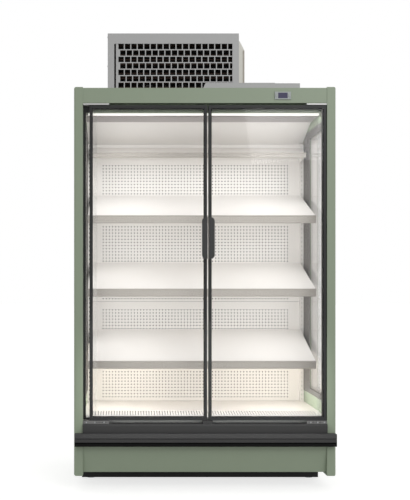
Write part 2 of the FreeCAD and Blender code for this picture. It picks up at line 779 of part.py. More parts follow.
def door_surround():
    """Hinge plates, the middle catch, black jambs with caps and spacers, and clear strips."""
    plates = []
    for side in ("left", "right"):
        plates.append(hinge_plate(side, "lower", (SILL_TOP, BOTTOM_PLATE_TOP)))
        plates.append(hinge_plate(side, "upper", (TOP_PLATE_BOTTOM, TOP_PLATE_TOP)))
    node("hinge_plates", group("hinge_plates", *plates))

    middle = f"({LEFT_FREE} + dims.door_gap / 2)"
    catch_x = (f"{middle} - dims.catch_width / 2", f"{middle} + dims.catch_width / 2")
    catch_y = (f"{FRONT} - dims.hinge_plate_front", f"{DOOR_BACK}")
    node("door_catch", box("catch", catch_x, catch_y, (SILL_TOP, BOTTOM_PLATE_TOP)))

    jamb_y = (SEAL, f"{SEAL} + dims.jamb_depth")
    height = (TUB_LIP, FLANGE_BOTTOM)
    jamb = f"({INNER} - dims.jamb_width)"
    jambs = [box("jamb_left", (f"-{INNER}", f"-{jamb}"), jamb_y, height)]
    jambs.append(box("jamb_right", (jamb, INNER), jamb_y, height))
    cap_x = (f"-{INNER}", f"{LEFT_OUTER} - dims.jamb_cap_gap")
    cap_y = (f"{SEAL} - dims.jamb_cap", SEAL)
    for cap_z in ((BOTTOM_PLATE_TOP, TUB_LIP), (FLANGE_BOTTOM, TOP_PLATE_TOP)):
        jambs.append(box("jamb_cap", cap_x, cap_y, cap_z))
    reach = "(dims.hinge_plate_reach - dims.hinge_plate_chamfer)"
    edge = f"({INNER} - dims.hinge_side_gap)"
    for spacer_x in ((f"-{edge}", f"{LEFT_PIVOT} + {reach}"), (f"{RIGHT_PIVOT} - {reach}", edge)):
        jambs.append(box("hinge_spacer", spacer_x, (HEADER_FRONT, DOOR_BACK), (TOP_PLATE_TOP, HEADER_BOTTOM)))
    node("door_jambs", group("door_jambs", *jambs))

    overlap = "dims.gasket_hinge_inset + dims.gasket_width + dims.strip_overlap"
    strip_y = (SEAL, f"{SEAL} + dims.strip_thickness")
    strips = [box("strip_left", (f"-{jamb}", f"{LEFT_OUTER} + {overlap}"), strip_y, height)]
    strips.append(box("strip_right", (f"{RIGHT_OUTER} - ({overlap})", jamb), strip_y, height))
    node("seal_strips", group("seal_strips", *strips))


# Interior
def holed_sheet(outer, holes, thickness):
    """A flat sheet in the XY plane with rectangular holes, from plain numbers."""
    def loop(x0, y0, x1, y1):
        spots = [(x0, y0), (x1, y0), (x1, y1), (x0, y1), (x0, y0)]
        return Part.makePolygon([FreeCAD.Vector(x, y, 0) for x, y in spots])

    loops = [loop(*outer)] + [loop(*hole) for hole in holes]
    face = Part.makeFace(loops, "Part::FaceMakerBullseye")
    return face.extrude(FreeCAD.Vector(0, 0, thickness))


DECK_FRONT = f"({TUB_INNER} + dims.grille_run)"


def return_grille():
    """A slotted sheet that slopes from the tub's lip up to the deck."""
    width = 2 * value(INNER)
    run = value(f"{DECK_FRONT} - {TUB_INNER}")
    rise = value(f"{DECK_TOP} - {TUB_LIP}")
    length = math.hypot(run, rise)
    pitch = value("dims.slot_pitch")
    margin = value("dims.slot_margin")
    end = value("dims.slot_end_margin")
    count = int((width - 2 * end) // pitch)
    first = (width - (count - 1) * pitch) / 2
    half = value("dims.slot_width") / 2
    slots = []
    for i in range(count):
        middle = first + i * pitch
        slots.append((middle - half, margin, middle + half, length - margin))
    grille = doc.addObject("Part::Feature", "grille")
    grille.Shape = holed_sheet((0, 0, width, length), slots, value("dims.grille_sheet"))
    slope = FreeCAD.Rotation(FreeCAD.Vector(1, 0, 0), math.degrees(math.atan2(rise, run)))
    corner = FreeCAD.Vector(-width / 2, value(TUB_INNER), value(TUB_LIP))
    grille.Placement = FreeCAD.Placement(corner, slope)
    node("return_grille", grille)


def deck_pan():
    """A flat deck with turned-down front and rear edges."""
    depth = f"({DUCT_BACK} - {DECK_FRONT})"
    skin = "dims.deck_sheet"
    drop = "dims.deck_flange"
    corners = [
        ("0", "0"),
        (skin, "0"),
        (skin, f"{drop} - {skin}"),
        (f"{depth} - {skin}", f"{drop} - {skin}"),
        (f"{depth} - {skin}", "0"),
        (depth, "0"),
        (depth, drop),
        ("0", drop),
    ]
    base = (f"-{INNER}", DECK_FRONT, f"{DECK_TOP} - {drop}")
    node("deck_pan", prism("deck", "YZ_Plane", corners, f"2 * {INNER}", base))


def rear_panels():
    """Duct panels stacked from the deck up to the hood, between the uprights."""
    clear = f"({INNER} - dims.upright_width)"
    first = f"({DECK_TOP} + dims.first_panel_height)"
    last = f"({HOOD_BOTTOM} - dims.last_panel_height)"
    pitch = f"(({last} - {first}) / {REAR_PANELS - 2})"
    joints = [DECK_TOP]
    joints += [f"{first} + {i} * {pitch}" for i in range(REAR_PANELS - 1)]
    joints.append(HOOD_BOTTOM)
    panels = []
    for low, high in zip(joints, joints[1:]):
        panels.append(box("duct_panel", (f"-{clear}", clear), (DUCT_FRONT, DUCT_BACK), (low, high)))
    node("rear_panels", group("rear_panels", *panels))

    posts = []
    for x in ((f"-{INNER}", f"-{clear}"), (clear, INNER)):
        posts.append(box("upright", x, (UPRIGHT_FRONT, DUCT_BACK), (DECK_TOP, HOOD_BOTTOM)))
    node("shelf_uprights", group("shelf_uprights", *posts))


SHELF_WIDTH = f"(2 * ({INNER} - dims.shelf_end_gap))"
TOP_LIP = f"({HOOD_BOTTOM} - dims.top_lip_drop)"
BOTTOM_LIP = f"({DECK_TOP} + dims.bottom_lip_rise)"
LIP_PITCH = f"(({TOP_LIP} - {BOTTOM_LIP}) / 3)"
SECOND_LIP = f"({BOTTOM_LIP} + 2 * {LIP_PITCH} + dims.second_shelf_shift)"
THIRD_LIP = f"({BOTTOM_LIP} + {LIP_PITCH} + dims.third_shelf_shift)"
TOP_SHELF_FRONT = f"({UPRIGHT_FRONT} - dims.top_shelf_depth)"
SHELF_FRONT = f"({FRONT} + dims.shelf_front)"
SHELVES = (
    (TOP_LIP, "dims.top_price_rail_height", TOP_SHELF_FRONT),
    (SECOND_LIP, "dims.price_rail_height", SHELF_FRONT),
    (THIRD_LIP, "dims.price_rail_height", SHELF_FRONT),
    (BOTTOM_LIP, "dims.price_rail_height", SHELF_FRONT),
)


def shelves():
    """Sloping trays with price rails in front and a bracket at each end."""
    rails = []
    brackets = []
    half = f"{SHELF_WIDTH} / 2"
    tray = "dims.shelf_tray_height"
    tilt = "dims.shelf_tilt"
    for number, (lip, rail_height, rail_front) in enumerate(SHELVES, start=1):
        rail_back = f"({rail_front} + dims.price_rail_thickness)"
        rail_z = (f"{lip} - {rail_height}", lip)
        rails.append(box(f"price_rail_{number}", (f"-{half}", half), (rail_front, rail_back), rail_z))

        foot_y = f"({rail_back} + dims.shelf_seat_gap + {tray} * sin({tilt}))"
        foot_z = f"({lip} - dims.shelf_below_lip - {tray} * cos({tilt}))"
        length = f"(({UPRIGHT_FRONT} - dims.shelf_seat_gap - {foot_y}) / cos({tilt}))"
        skin = "dims.shelf_sheet"
        block = box(f"tray_{number}", ("0", SHELF_WIDTH), ("0", length), ("0", tray))
        hollow_x = (skin, f"{SHELF_WIDTH} - {skin}")
        hollow = box(f"hollow_{number}", hollow_x, (skin, f"{length} - {skin}"), ("0", f"{tray} - {skin}"))
        shelf = cut(f"shelf_{number}", block, hollow)
        shelf.Placement.Rotation = FreeCAD.Rotation(FreeCAD.Vector(1, 0, 0), value(tilt))
        shelf.setExpression("Placement.Rotation.Angle", tilt)
        node(f"shelf_{number}", place(shelf, f"-{half}", foot_y, foot_z))

        nose_y = f"({foot_y} + dims.bracket_setback)"
        reach = f"({UPRIGHT_FRONT} - {nose_y})"
        climb = f"({reach} * tan({tilt}))"
        corners = [
            ("0", "dims.bracket_root - dims.bracket_nose"),
            (reach, climb),
            (reach, f"{climb} + dims.bracket_root"),
            ("0", "dims.bracket_root"),
        ]
        base_z = f"({foot_z} + dims.bracket_setback * tan({tilt}) + {tray} / 2 - dims.bracket_root)"
        for x in (f"-{half} - dims.bracket_thickness", half):
            name = f"bracket_{number}"
            brackets.append(prism(name, "YZ_Plane", corners, "dims.bracket_thickness", (x, nose_y, base_z)))
    node("price_rails", group("price_rails", *rails))
    node("shelf_brackets", group("shelf_brackets", *brackets))


# Fans
def fan(label, radius, blades, x, y, z):
    """A hub with a running bore and slanted blades, turning about +Y."""
    body = doc.addObject("PartDesign::Body", label)
    hub_sketch = body.newObject("Sketcher::SketchObject", label + "_hub")
    hub_sketch.AttachmentSupport = [(origin_feature(body, "XY_Plane"), "")]
    hub_sketch.MapMode = "FlatFace"
    for size in ("dims.hub_radius", "dims.shaft_radius + dims.shaft_clearance"):
        circle = Part.Circle(FreeCAD.Vector(0, 0, 0), FreeCAD.Vector(0, 0, 1), value(size))
        index = hub_sketch.addGeometry(circle)
        hub_sketch.addConstraint(Sketcher.Constraint("Coincident", index, 3, -1, 1))
        rule = hub_sketch.addConstraint(Sketcher.Constraint("Radius", index, value(size)))
        hub_sketch.setExpression(f"Constraints[{rule}]", size)
    hub = body.newObject("PartDesign::Pad", label + "_hub_pad")
    hub.Profile = hub_sketch
    hub.setExpression("Length", "dims.hub_height")

    chord = "dims.blade_chord"
    rise = "dims.blade_rise"
    skin = "dims.blade_sheet"
    root = "dims.blade_root_radius"
    section = [("0", "0"), (skin, "0"), (chord, rise), (f"{chord} - {skin}", rise)]
    blade_sketch = outline(body, label + "_blade", "YZ_Plane", section)
    blade_sketch.setExpression("AttachmentOffset.Base.x", f"-{chord} / 2")
    blade_sketch.setExpression("AttachmentOffset.Base.y", f"(dims.hub_height - {rise}) / 2")
    blade_sketch.setExpression("AttachmentOffset.Base.z", root)
    blade = body.newObject("PartDesign::Pad", label + "_blade_pad")
    blade.Profile = blade_sketch
    blade.setExpression("Length", f"{radius} - {root}")
    doc.recompute()
    pattern = body.newObject("PartDesign::PolarPattern", label + "_blades")
    pattern.Originals = [blade]
    pattern.Axis = (origin_feature(body, "Z_Axis"), [""])
    pattern.Angle = 360
    pattern.Occurrences = blades
    body.Tip = pattern
    body.Placement.Rotation = FreeCAD.Rotation(FreeCAD.Vector(1, 0, 0), -90)
    node(label, place(body, x, y, z))


def motor(name, x, y, z):
    """A motor can behind a fan, with a shaft that reaches through the hub."""
    shaft_length = "(dims.motor_gap + dims.hub_height)"
    can_start = f"({y} + {shaft_length})"
    can = level_cylinder(f"{name}_can", "dims.motor_radius", "dims.motor_length", x, can_start, z)
    shaft = level_cylinder(f"{name}_shaft", "dims.shaft_radius", f"{shaft_length} + dims.shaft_seat", x, y, z)
    return fuse(name, can, shaft)


def spider(name, radius, x, y, z, depth):
    """Arms from a plate's rim to a motor can, cut clear of the can itself."""
    arms = []
    half = "dims.motor_arm_width / 2"
    reach = f"({radius} + dims.motor_arm_width)"
    for i in range(MOTOR_ARMS):
        arm = doc.addObject("Part::Box", f"{name}_arm")
        arm.setExpression("Length", reach)
        arm.setExpression("Width", depth)
        arm.setExpression("Height", "dims.motor_arm_width")
        turn = FreeCAD.Rotation(FreeCAD.Vector(0, 1, 0), 360.0 / MOTOR_ARMS * i + FIRST_ARM)
        across = turn.multVec(FreeCAD.Vector(0, 0, 1))
        spot = FreeCAD.Vector(value(x), value(y), value(z)) - across * value(half)
        arm.Placement = FreeCAD.Placement(spot, turn)
        arms.append(arm)
    return arms


# Air cooler under the deck
COOLER_BACK = f"({DUCT_BACK} - dims.cooler_back_gap)"
COOLER_FRONT = f"({COOLER_BACK} - dims.cooler_depth)"
FAN_PLATE = f"({COOLER_FRONT} - dims.fan_plate_gap)"
FAN_MIDDLE = f"(({TUB_FLOOR_TOP} + {DECK_BOTTOM}) / 2)"


def air_cooler():
    """A fan plate across the tub, two fans with motors, and the finned coil."""
    back = f"({FAN_PLATE} + dims.fan_plate_sheet)"
    plate = box("fan_plate", FULL_WIDTH, (FAN_PLATE, back), (TUB_FLOOR_TOP, DECK_BOTTOM))
    mouth = "(dims.cooler_fan_radius + dims.cooler_fan_tip_gap)"
    fan_start = f"({back} - dims.hub_height / 2)"
    can_start = f"({fan_start} + dims.hub_height + dims.motor_gap)"
    motors = []
    arms = []
    cuts = []
    for side, x in (("left", "-dims.cooler_fan_offset"), ("right", "dims.cooler_fan_offset")):
        sheet_depth = "dims.fan_plate_sheet"
        cuts.append(level_cylinder(f"{side}_mouth", mouth, sheet_depth, x, FAN_PLATE, FAN_MIDDLE))
        fan(f"evaporator_fan_{side}", "dims.cooler_fan_radius", COOLER_BLADES, x, fan_start, FAN_MIDDLE)
        motors.append(motor(f"{side}_cooler_motor", x, fan_start, FAN_MIDDLE))
        arm_depth = f"({can_start} + dims.motor_arm_width - {back})"
        arms += spider(f"{side}_cooler", mouth, x, back, FAN_MIDDLE, arm_depth)
        clear_length = f"({can_start} - {back})"
        cuts.append(level_cylinder(f"{side}_swirl", mouth, clear_length, x, back, FAN_MIDDLE))
        can = ("dims.motor_radius", "dims.motor_length")
        cuts.append(level_cylinder(f"{side}_socket", *can, x, can_start, FAN_MIDDLE))
    node("evaporator_fan_plate", cut("cooler_plate", fuse("cooler_plate_blank", plate, *arms), *cuts))
    node("evaporator_motors", group("evaporator_motors", *motors))
    coil_x = (f"-{INNER} + dims.cooler_side_gap", f"{INNER} - dims.cooler_side_gap")
    coil_z = (TUB_FLOOR_TOP, f"{DECK_BOTTOM} - dims.cooler_top_gap")
    node("evaporator_coil", box("cooler_coil", coil_x, (COOLER_FRONT, COOLER_BACK), coil_z))


# Roof condensing unit
UNIT_FRONT = f"({FRONT} + dims.unit_setback)"
UNIT_BACK = f"({BACK} - dims.unit_back_gap)"
UNIT_LEFT = f"(-{INNER} + dims.unit_left_gap)"
UNIT_RIGHT = f"({UNIT_LEFT} + dims.unit_width)"
UNIT_X = (UNIT_LEFT, UNIT_RIGHT)
UNIT_TOP = f"({ROOF_TOP} + dims.unit_height)"
UNIT_MOUTH = f"({ROOF_TOP} + dims.unit_mouth_rise)"
UNIT_FLOOR = f"({ROOF_TOP} + dims.unit_tray_height)"
COIL_FRONT = f"({UNIT_FRONT} + dims.coil_gap)"
COIL_BACK = f"({COIL_FRONT} + dims.coil_depth)"
COIL_X = (f"{UNIT_LEFT} + dims.coil_side_gap", f"{UNIT_RIGHT} - dims.coil_side_gap")
COIL_Z = (UNIT_FLOOR, f"{UNIT_TOP} - dims.coil_top_gap")
SHROUD = f"({COIL_BACK} + dims.shroud_gap)"
SHROUD_BACK = f"({SHROUD} + dims.shroud_sheet)"
FAN_HEIGHT = f"(({COIL_Z[0]} + {COIL_Z[1]}) / 2)"


def unit_casing():
    """A tray and a sheet housing, open in front of the coil and vented behind."""
    skin = "dims.unit_sheet"
    depth = (UNIT_FRONT, UNIT_BACK)
    node("unit_tray", box("tray", UNIT_X, depth, (ROOF_TOP, UNIT_FLOOR)))
    outer = box("housing_outer", UNIT_X, depth, (UNIT_FLOOR, UNIT_TOP))
    inner_x = (f"{UNIT_X[0]} + {skin}", f"{UNIT_X[1]} - {skin}")
    inner_y = (f"{UNIT_FRONT} + {skin}", f"{UNIT_BACK} - {skin}")
    inner = box("housing_inner", inner_x, inner_y, (UNIT_FLOOR, f"{UNIT_TOP} - {skin}"))
    frame = "dims.unit_frame_side"
    mouth_x = (f"{UNIT_X[0]} + {frame}", f"{UNIT_X[1]} - {frame}")
    mouth_z = (UNIT_MOUTH, f"{UNIT_TOP} - dims.unit_frame_top")
    mouth = box("housing_mouth", mouth_x, (UNIT_FRONT, f"{UNIT_FRONT} + {skin}"), mouth_z)
    vents = []
    pitch = value("dims.vent_pitch")
    count = int(value(f"{mouth_z[1]} - ({mouth_z[0]}) - dims.gland_height") // pitch)
    for i in range(count):
        low = f"{UNIT_MOUTH} + dims.gland_height + {i} * dims.vent_pitch"
        height = (low, f"{low} + dims.vent_height")
        vents.append(box("vent", mouth_x, (f"{UNIT_BACK} - {skin}", UNIT_BACK), height))
    node("unit_housing", cut("housing", outer, inner, mouth, group("vents", *vents)))


def unit_grille():
    """A sheet of square holes behind the housing's mouth, alternate rows shifted."""
    margin = value("dims.mesh_margin")
    left = value(f"{UNIT_X[0]} + dims.unit_frame_side")
    right = value(f"{UNIT_X[1]} - dims.unit_frame_side")
    low = value(UNIT_MOUTH)
    high = value(f"{UNIT_TOP} - dims.unit_frame_top")
    pitch = value("dims.mesh_pitch")
    hole = value("dims.mesh_hole")
    shift = value("dims.mesh_row_shift")
    gap = pitch - hole
    rows = int((high - low) // pitch)
    holes = []
    for row in range(rows):
        top = high - row * pitch
        start = left + value("dims.mesh_first_hole") + (shift if row % 2 else 0)
        columns = int((right + margin - gap - hole - start) // pitch) + 1
        for column in range(columns):
            x = start + column * pitch
            holes.append((x, top - hole, x + hole, top))
    outer = (left + value("dims.mesh_edge_gap"), low - margin, right + margin, high + margin)
    mesh = doc.addObject("Part::Feature", "mesh")
    mesh.Shape = holed_sheet(outer, holes, value("dims.mesh_sheet"))
    back = value(f"{UNIT_FRONT} + dims.unit_sheet + dims.mesh_sheet")
    stand = FreeCAD.Rotation(FreeCAD.Vector(1, 0, 0), 90)
    mesh.Placement = FreeCAD.Placement(FreeCAD.Vector(0, back, 0), stand)
    node("unit_grille", mesh)


def condenser():
    """The finned coil, its shroud with the fan, and the motor on three arms."""
    node("condenser_coil", box("hot_coil", COIL_X, (COIL_FRONT, COIL_BACK), COIL_Z))
    x = f"({UNIT_LEFT} + dims.condenser_fan_inset)"
    mouth = "(dims.condenser_fan_radius + dims.condenser_fan_tip_gap)"
    fan_start = f"({SHROUD_BACK} - dims.hub_height / 2 + dims.shroud_sheet)"
    can_start = f"({fan_start} + dims.hub_height + dims.motor_gap)"
    plate = box("shroud_plate", COIL_X, (SHROUD, SHROUD_BACK), COIL_Z)
    arm_depth = f"({can_start} + dims.motor_arm_width - {SHROUD_BACK})"
    arms = spider("condenser", mouth, x, SHROUD_BACK, FAN_HEIGHT, arm_depth)
    hole = level_cylinder("shroud_mouth", mouth, "dims.shroud_sheet", x, SHROUD, FAN_HEIGHT)
    run = f"({can_start} - {SHROUD_BACK})"
    swirl = level_cylinder("shroud_swirl", mouth, run, x, SHROUD_BACK, FAN_HEIGHT)
    can = ("dims.motor_radius", "dims.motor_length")
    socket = level_cylinder("shroud_socket", *can, x, can_start, FAN_HEIGHT)
    node("condenser_shroud", cut("shroud", fuse("shroud_blank", plate, *arms), hole, swirl, socket))
    node("condenser_motor", motor("hot_motor", x, fan_start, FAN_HEIGHT))
    fan("condenser_fan", "dims.condenser_fan_radius", CONDENSER_BLADES, x, fan_start, FAN_HEIGHT)


def compressor():
    """A hermetic can with a coned top, standing on the tray."""
    x = f"{UNIT_RIGHT} - dims.compressor_offset"
    y = f"{UNIT_BACK} - dims.compressor_back_gap - dims.compressor_radius"
    can = upright_cylinder("can", "dims.compressor_radius", "dims.compressor_height", x, y, UNIT_FLOOR)
    dome = doc.addObject("Part::Cone", "can_dome")
    dome.setExpression("Radius1", "dims.compressor_radius")
    dome.setExpression("Radius2", "dims.compressor_top_radius")
    dome.setExpression("Height", "dims.compressor_dome")
    place(dome, x, y, f"{UNIT_FLOOR} + dims.compressor_height")
    node("compressor", fuse("compressor", can, dome))


def unit_extras():
    """A cowl on the unit's right side, the wiring trunk and the supply gland."""
    wide = "dims.cowl_width"
    high = "dims.cowl_height"
    slope_x = "dims.cowl_slope_width"
    slope_z = "dims.cowl_slope_height"
    corners = [("0", "0"), (wide, "0"), (wide, f"{high} - {slope_z}")]
    corners += [(f"{wide} - {slope_x}", high), ("0", high)]
    base = (UNIT_RIGHT, f"{UNIT_FRONT} + dims.cowl_setback", ROOF_TOP)
    node("unit_side_cowl", prism("cowl", "XZ_Plane", corners, "dims.cowl_depth", base))

    long = "dims.trunk_length"
    high = "dims.trunk_height"
    step_x = f"({long} - dims.trunk_step_length)"
    step_z = f"({high} - dims.trunk_step)"
    corners = [("0", "0"), (long, "0"), (long, step_z), (step_x, step_z)]
    corners += [(step_x, high), ("dims.trunk_slant", high)]
    base = (f"{INNER} - dims.trunk_right_gap - {long}", f"{UNIT_FRONT} - dims.trunk_depth", ROOF_TOP)
    node("wiring_trunk", prism("trunk", "XZ_Plane", corners, "dims.trunk_depth", base))

    x = f"{UNIT_RIGHT} - dims.compressor_offset"
    z = f"({UNIT_FLOOR} + dims.gland_height / 2)"
    flange = level_cylinder("gland_flange", "dims.gland_flange_radius", "dims.gland_flange", x, UNIT_BACK, z)
    barrel = level_cylinder("gland_barrel", "dims.gland_radius", "dims.gland_length", x, UNIT_BACK, z)
    bore = level_cylinder("gland_bore", "dims.gland_bore", "dims.gland_length", x, UNIT_BACK, z)
    node("supply_gland", cut("gland", fuse("gland_blank", flange, barrel), bore))


# Controller on the header
def controller():
    """A bezel with an inset display and a sprung key on each side of it."""
    low = f"({HEADER_BOTTOM} + dims.controller_rise)"
    high = f"({low} + dims.controller_height)"
    middle = f"(({low} + {high}) / 2)"
    x = f"({INNER} - dims.controller_inset)"
    half = "dims.controller_width / 2"
    front = f"({HEADER_FRONT} - dims.controller_depth)"
    bezel = box("bezel_blank", (f"{x} - {half}", f"{x} + {half}"), (front, HEADER_FRONT), (low, high))
    show_x = (f"{x} - dims.display_width / 2", f"{x} + dims.display_width / 2")
    show_z = (f"{middle} - dims.display_height / 2", f"{middle} + dims.display_height / 2")
    show_y = (front, f"{front} + dims.display_depth")
    tools = [box("display_seat", show_x, show_y, show_z)]
    node("controller_display", box("display", show_x, show_y, show_z))
    offset = "((dims.controller_width + dims.display_width) / 4)"
    clear = "dims.key_clearance"
    key_y = (f"{front} - dims.key_proud", f"{HEADER_FRONT} - dims.key_travel - dims.key_stop_gap")
    for name, key_x in (("key_left", f"({x} - {offset})"), ("key_right", f"({x} + {offset})")):
        wide = "dims.key_width / 2"
        tall = "dims.key_height / 2"
        key_z = (f"{middle} - {tall}", f"{middle} + {tall}")
        node(f"controller_{name}", box(name, (f"{key_x} - {wide}", f"{key_x} + {wide}"), key_y, key_z))
        slot_x = (f"{key_x} - {wide} - {clear}", f"{key_x} + {wide} + {clear}")
        slot_z = (f"{middle} - {tall} - {clear}", f"{middle} + {tall} + {clear}")
        tools.append(box(f"{name}_slot", slot_x, (front, HEADER_FRONT), slot_z))
    node("controller_bezel", cut("bezel", bezel, *tools))


base_frame()
levelling_feet()
kick_plate()
insulated_tub()
carcass_walls()
end_panels()
side_windows()
bumper()
front_sill()
lower_front_panel()
header_panel()
canopy()
door("left", LEFT_OUTER, LEFT_FREE, LEFT_PIVOT)
door("right", RIGHT_FREE, RIGHT_OUTER, RIGHT_PIVOT)
door_handle("left", LEFT_FREE)
door_handle("right", RIGHT_FREE)
door_surround()
return_grille()
deck_pan()
rear_panels()
shelves()
air_cooler()
unit_casing()
unit_grille()
condenser()
compressor()
unit_extras()
controller()
doc.recompute()

for item in doc.Objects:
    if "Invalid" in item.State or "Error" in item.State:
        raise RuntimeError(f"{item.Name} failed: {item.State}")
for item in nodes:
    if item.Shape.isNull() or not item.Shape.isValid():
        raise RuntimeError(f"{item.Label} has no valid shape")

os.makedirs("parts", exist_ok=True)
for item in nodes:
    item.Shape.exportStep(os.path.join("parts", f"{item.Label}.step"))
print(len(nodes), "nodes written")
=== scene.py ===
# %% [markdown]
# A refrigerated merchandiser: a tall chilled cabinet with two glass doors, sloping
# shelves and a cooling unit on its roof. The solids come from CAD and stay where they
# are. This lesson gives them finishes, and builds the fine pieces that a solid model
# leaves plain, such as punched sheet, honeycomb and cooling fins.

# %% Load the frame
import math

import bmesh
import bpy
from mathutils import Matrix, Vector


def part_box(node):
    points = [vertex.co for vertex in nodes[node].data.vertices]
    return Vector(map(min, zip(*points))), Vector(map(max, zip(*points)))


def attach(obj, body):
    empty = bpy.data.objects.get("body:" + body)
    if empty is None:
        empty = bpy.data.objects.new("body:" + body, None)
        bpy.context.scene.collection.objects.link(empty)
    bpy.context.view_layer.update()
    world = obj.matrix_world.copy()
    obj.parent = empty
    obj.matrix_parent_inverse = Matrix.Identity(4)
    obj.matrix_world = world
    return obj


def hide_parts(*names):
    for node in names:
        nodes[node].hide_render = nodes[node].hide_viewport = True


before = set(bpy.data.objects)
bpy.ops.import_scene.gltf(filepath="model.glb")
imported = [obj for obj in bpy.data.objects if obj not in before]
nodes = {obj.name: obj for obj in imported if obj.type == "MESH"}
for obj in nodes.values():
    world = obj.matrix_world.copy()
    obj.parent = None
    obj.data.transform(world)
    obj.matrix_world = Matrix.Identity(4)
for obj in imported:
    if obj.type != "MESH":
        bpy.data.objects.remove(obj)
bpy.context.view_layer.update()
scene = bpy.context.scene
scene.view_settings.view_transform = "Standard"
CLEAR_LAYERS = 32
scene.cycles.transparent_max_bounces = CLEAR_LAYERS
MM = 0.001

# %% [markdown]
# The photograph looks straight along +Y from the left of the cabinet's middle, a little
# below its half height. All uprights stay parallel, so the camera is level and its
# sensor is shifted, as on a view camera.

# %% Camera
SENSOR_MM = 36.0
LENS_MM = 59.57
SENSOR_SHIFT = (0.162, 0.058)
CAMERA_SPOT = (-0.411, -4.540, 1.075)
camera_data = bpy.data.cameras.new("view_camera")
camera_data.sensor_width = SENSOR_MM
camera_data.lens = LENS_MM
camera_data.shift_x, camera_data.shift_y = SENSOR_SHIFT
camera = bpy.data.objects.new("view_camera", camera_data)
camera.location = CAMERA_SPOT
camera.rotation_euler = (math.radians(90), 0, 0)
scene.collection.objects.link(camera)
scene.camera = camera
print("camera", tuple(round(v, 3) for v in camera.location))

# %% [markdown]
# Two small tools serve every finish. One turns an sRGB hex colour into linear light. The
# other adds a shader node, sets its options, and sets or links its inputs.

# %% Colour and node tools


def linear(code, alpha=1.0):
    """The linear colour of an sRGB hex code."""
    channels = [int(code[i:i + 2], 16) / 255 for i in (1, 3, 5)]
    light = [c / 12.92 if c <= 0.04045 else ((c + 0.055) / 1.055) ** 2.4 for c in channels]
    return (*light, alpha)


def add(tree, kind, inputs, **options):
    """Adds a node, with its options set and each input set or linked."""
    made = tree.nodes.new(kind)
    for name, option in options.items():
        setattr(made, name, option)
    for name, given in inputs.items():
        if isinstance(given, bpy.types.NodeSocket):
            tree.links.new(given, made.inputs[name])
        else:
            made.inputs[name].default_value = given
    return made


print("pure mid grey is", [round(c, 3) for c in linear("#808080")])

# %% [markdown]
# The studio is a white room: a pale floor and an even sky. A camera ray that misses the
# cabinet sees plain white, and so do reflections, while the light that falls on the
# cabinet stays at a plain level, so a colour renders as it is written.

# %% World and floor
SKY_LEVEL = 0.62
FLOOR_REACH = 30.0
FLOOR_LIFT = 0.72


def seen_rays(tree):
    """One for a ray from the camera, a glossy face or a clear one, and nought for the rest."""
    path = add(tree, "ShaderNodeLightPath", {})
    seen = path.outputs["Is Camera Ray"]
    for kind in ("Is Glossy Ray", "Is Transmission Ray"):
        seen = add(tree, "ShaderNodeMath", {0: seen, 1: path.outputs[kind]}, operation="MAXIMUM").outputs[0]
    return seen


world = bpy.data.worlds.new("white_room")
scene.world = world
world.use_nodes = True
room = world.node_tree
room.nodes.clear()
level = add(room, "ShaderNodeMapRange", {"Value": seen_rays(room), "To Min": SKY_LEVEL, "To Max": 1.0})
sky = add(room, "ShaderNodeBackground", {"Color": (1, 1, 1, 1), "Strength": level.outputs[0]})
add(room, "ShaderNodeOutputWorld", {"Surface": sky.outputs[0]})

floor_mesh = bpy.data.meshes.new("studio_floor")
corners = [(x * FLOOR_REACH, y * FLOOR_REACH, 0) for x, y in ((-1, -1), (1, -1), (1, 1), (-1, 1))]
floor_mesh.from_pydata(corners, [], [(0, 1, 2, 3)])
floor = bpy.data.objects.new("studio_floor", floor_mesh)
scene.collection.objects.link(floor)
paint = bpy.data.materials.new("matte_studio_paint")
paint.use_nodes = True
tree = paint.node_tree
tree.nodes.clear()
lift = add(tree, "ShaderNodeMath", {0: seen_rays(tree), 1: FLOOR_LIFT}, operation="MULTIPLY")
matte = add(tree, "ShaderNodeBsdfDiffuse", {"Color": linear("#BFBFBD")})
glow = add(tree, "ShaderNodeEmission", {"Strength": lift.outputs[0]})
both = add(tree, "ShaderNodeAddShader", {0: matte.outputs[0], 1: glow.outputs[0]})
add(tree, "ShaderNodeOutputMaterial", {"Surface": both.outputs[0]})
floor_mesh.materials.append(paint)
print("sky level", SKY_LEVEL, "floor lift", FLOOR_LIFT)

# %% [markdown]
# One large softbox lights the front from the right. The cabinet lights itself as well:
# strips under the canopy and under each shelf, in pairs near its ends, one above the return
# grille, a low beam on each end wall, and a broad weak panel behind the doors for the light
# that they throw back. The strips above the deck are a warmer white. None of these shows to
# the camera: the lamp that can be seen is a piece of its own further down.

# %% Lamps
WARM_WHITE = linear("#FFF8EE")[:3]
WALL_BEAM = math.radians(45)
# Name, place, aim, width and height in metres, and watts, with a twin on the left
PAIRED_LAMPS = (
    ("canopy_light", (0.435, -0.200, 1.930), (0.435, 0.100, 1.200), (0.36, 0.06), 0.44),
    ("shelf_light", (0.435, -0.175, 1.720), (0.435, 0.100, 1.570), (0.36, 0.03), 0.38),
    ("shelf_light", (0.435, -0.175, 1.360), (0.435, 0.100, 1.210), (0.36, 0.03), 0.48),
    ("shelf_light", (0.435, -0.175, 0.975), (0.435, 0.100, 0.825), (0.36, 0.03), 0.53),
    ("deck_light", (0.435, -0.175, 0.595), (0.435, 0.200, 0.560), (0.36, 0.03), 0.93),
    ("end_wall_light", (0.330, -0.030, 0.440), (0.625, -0.030, 0.425), (0.36, 0.05), 0.12),
)
# The same, for lamps on the middle line
MIDDLE_LAMPS = (
    ("grille_light", (0, -0.21, 0.45), (0, -0.20, 0.37), (1.2, 0.03), 0.31),
    ("shelf_front_light", (0, -0.29, 1.10), (0, 0.20, 1.00), (1.2, 1.5), 4.5),
)


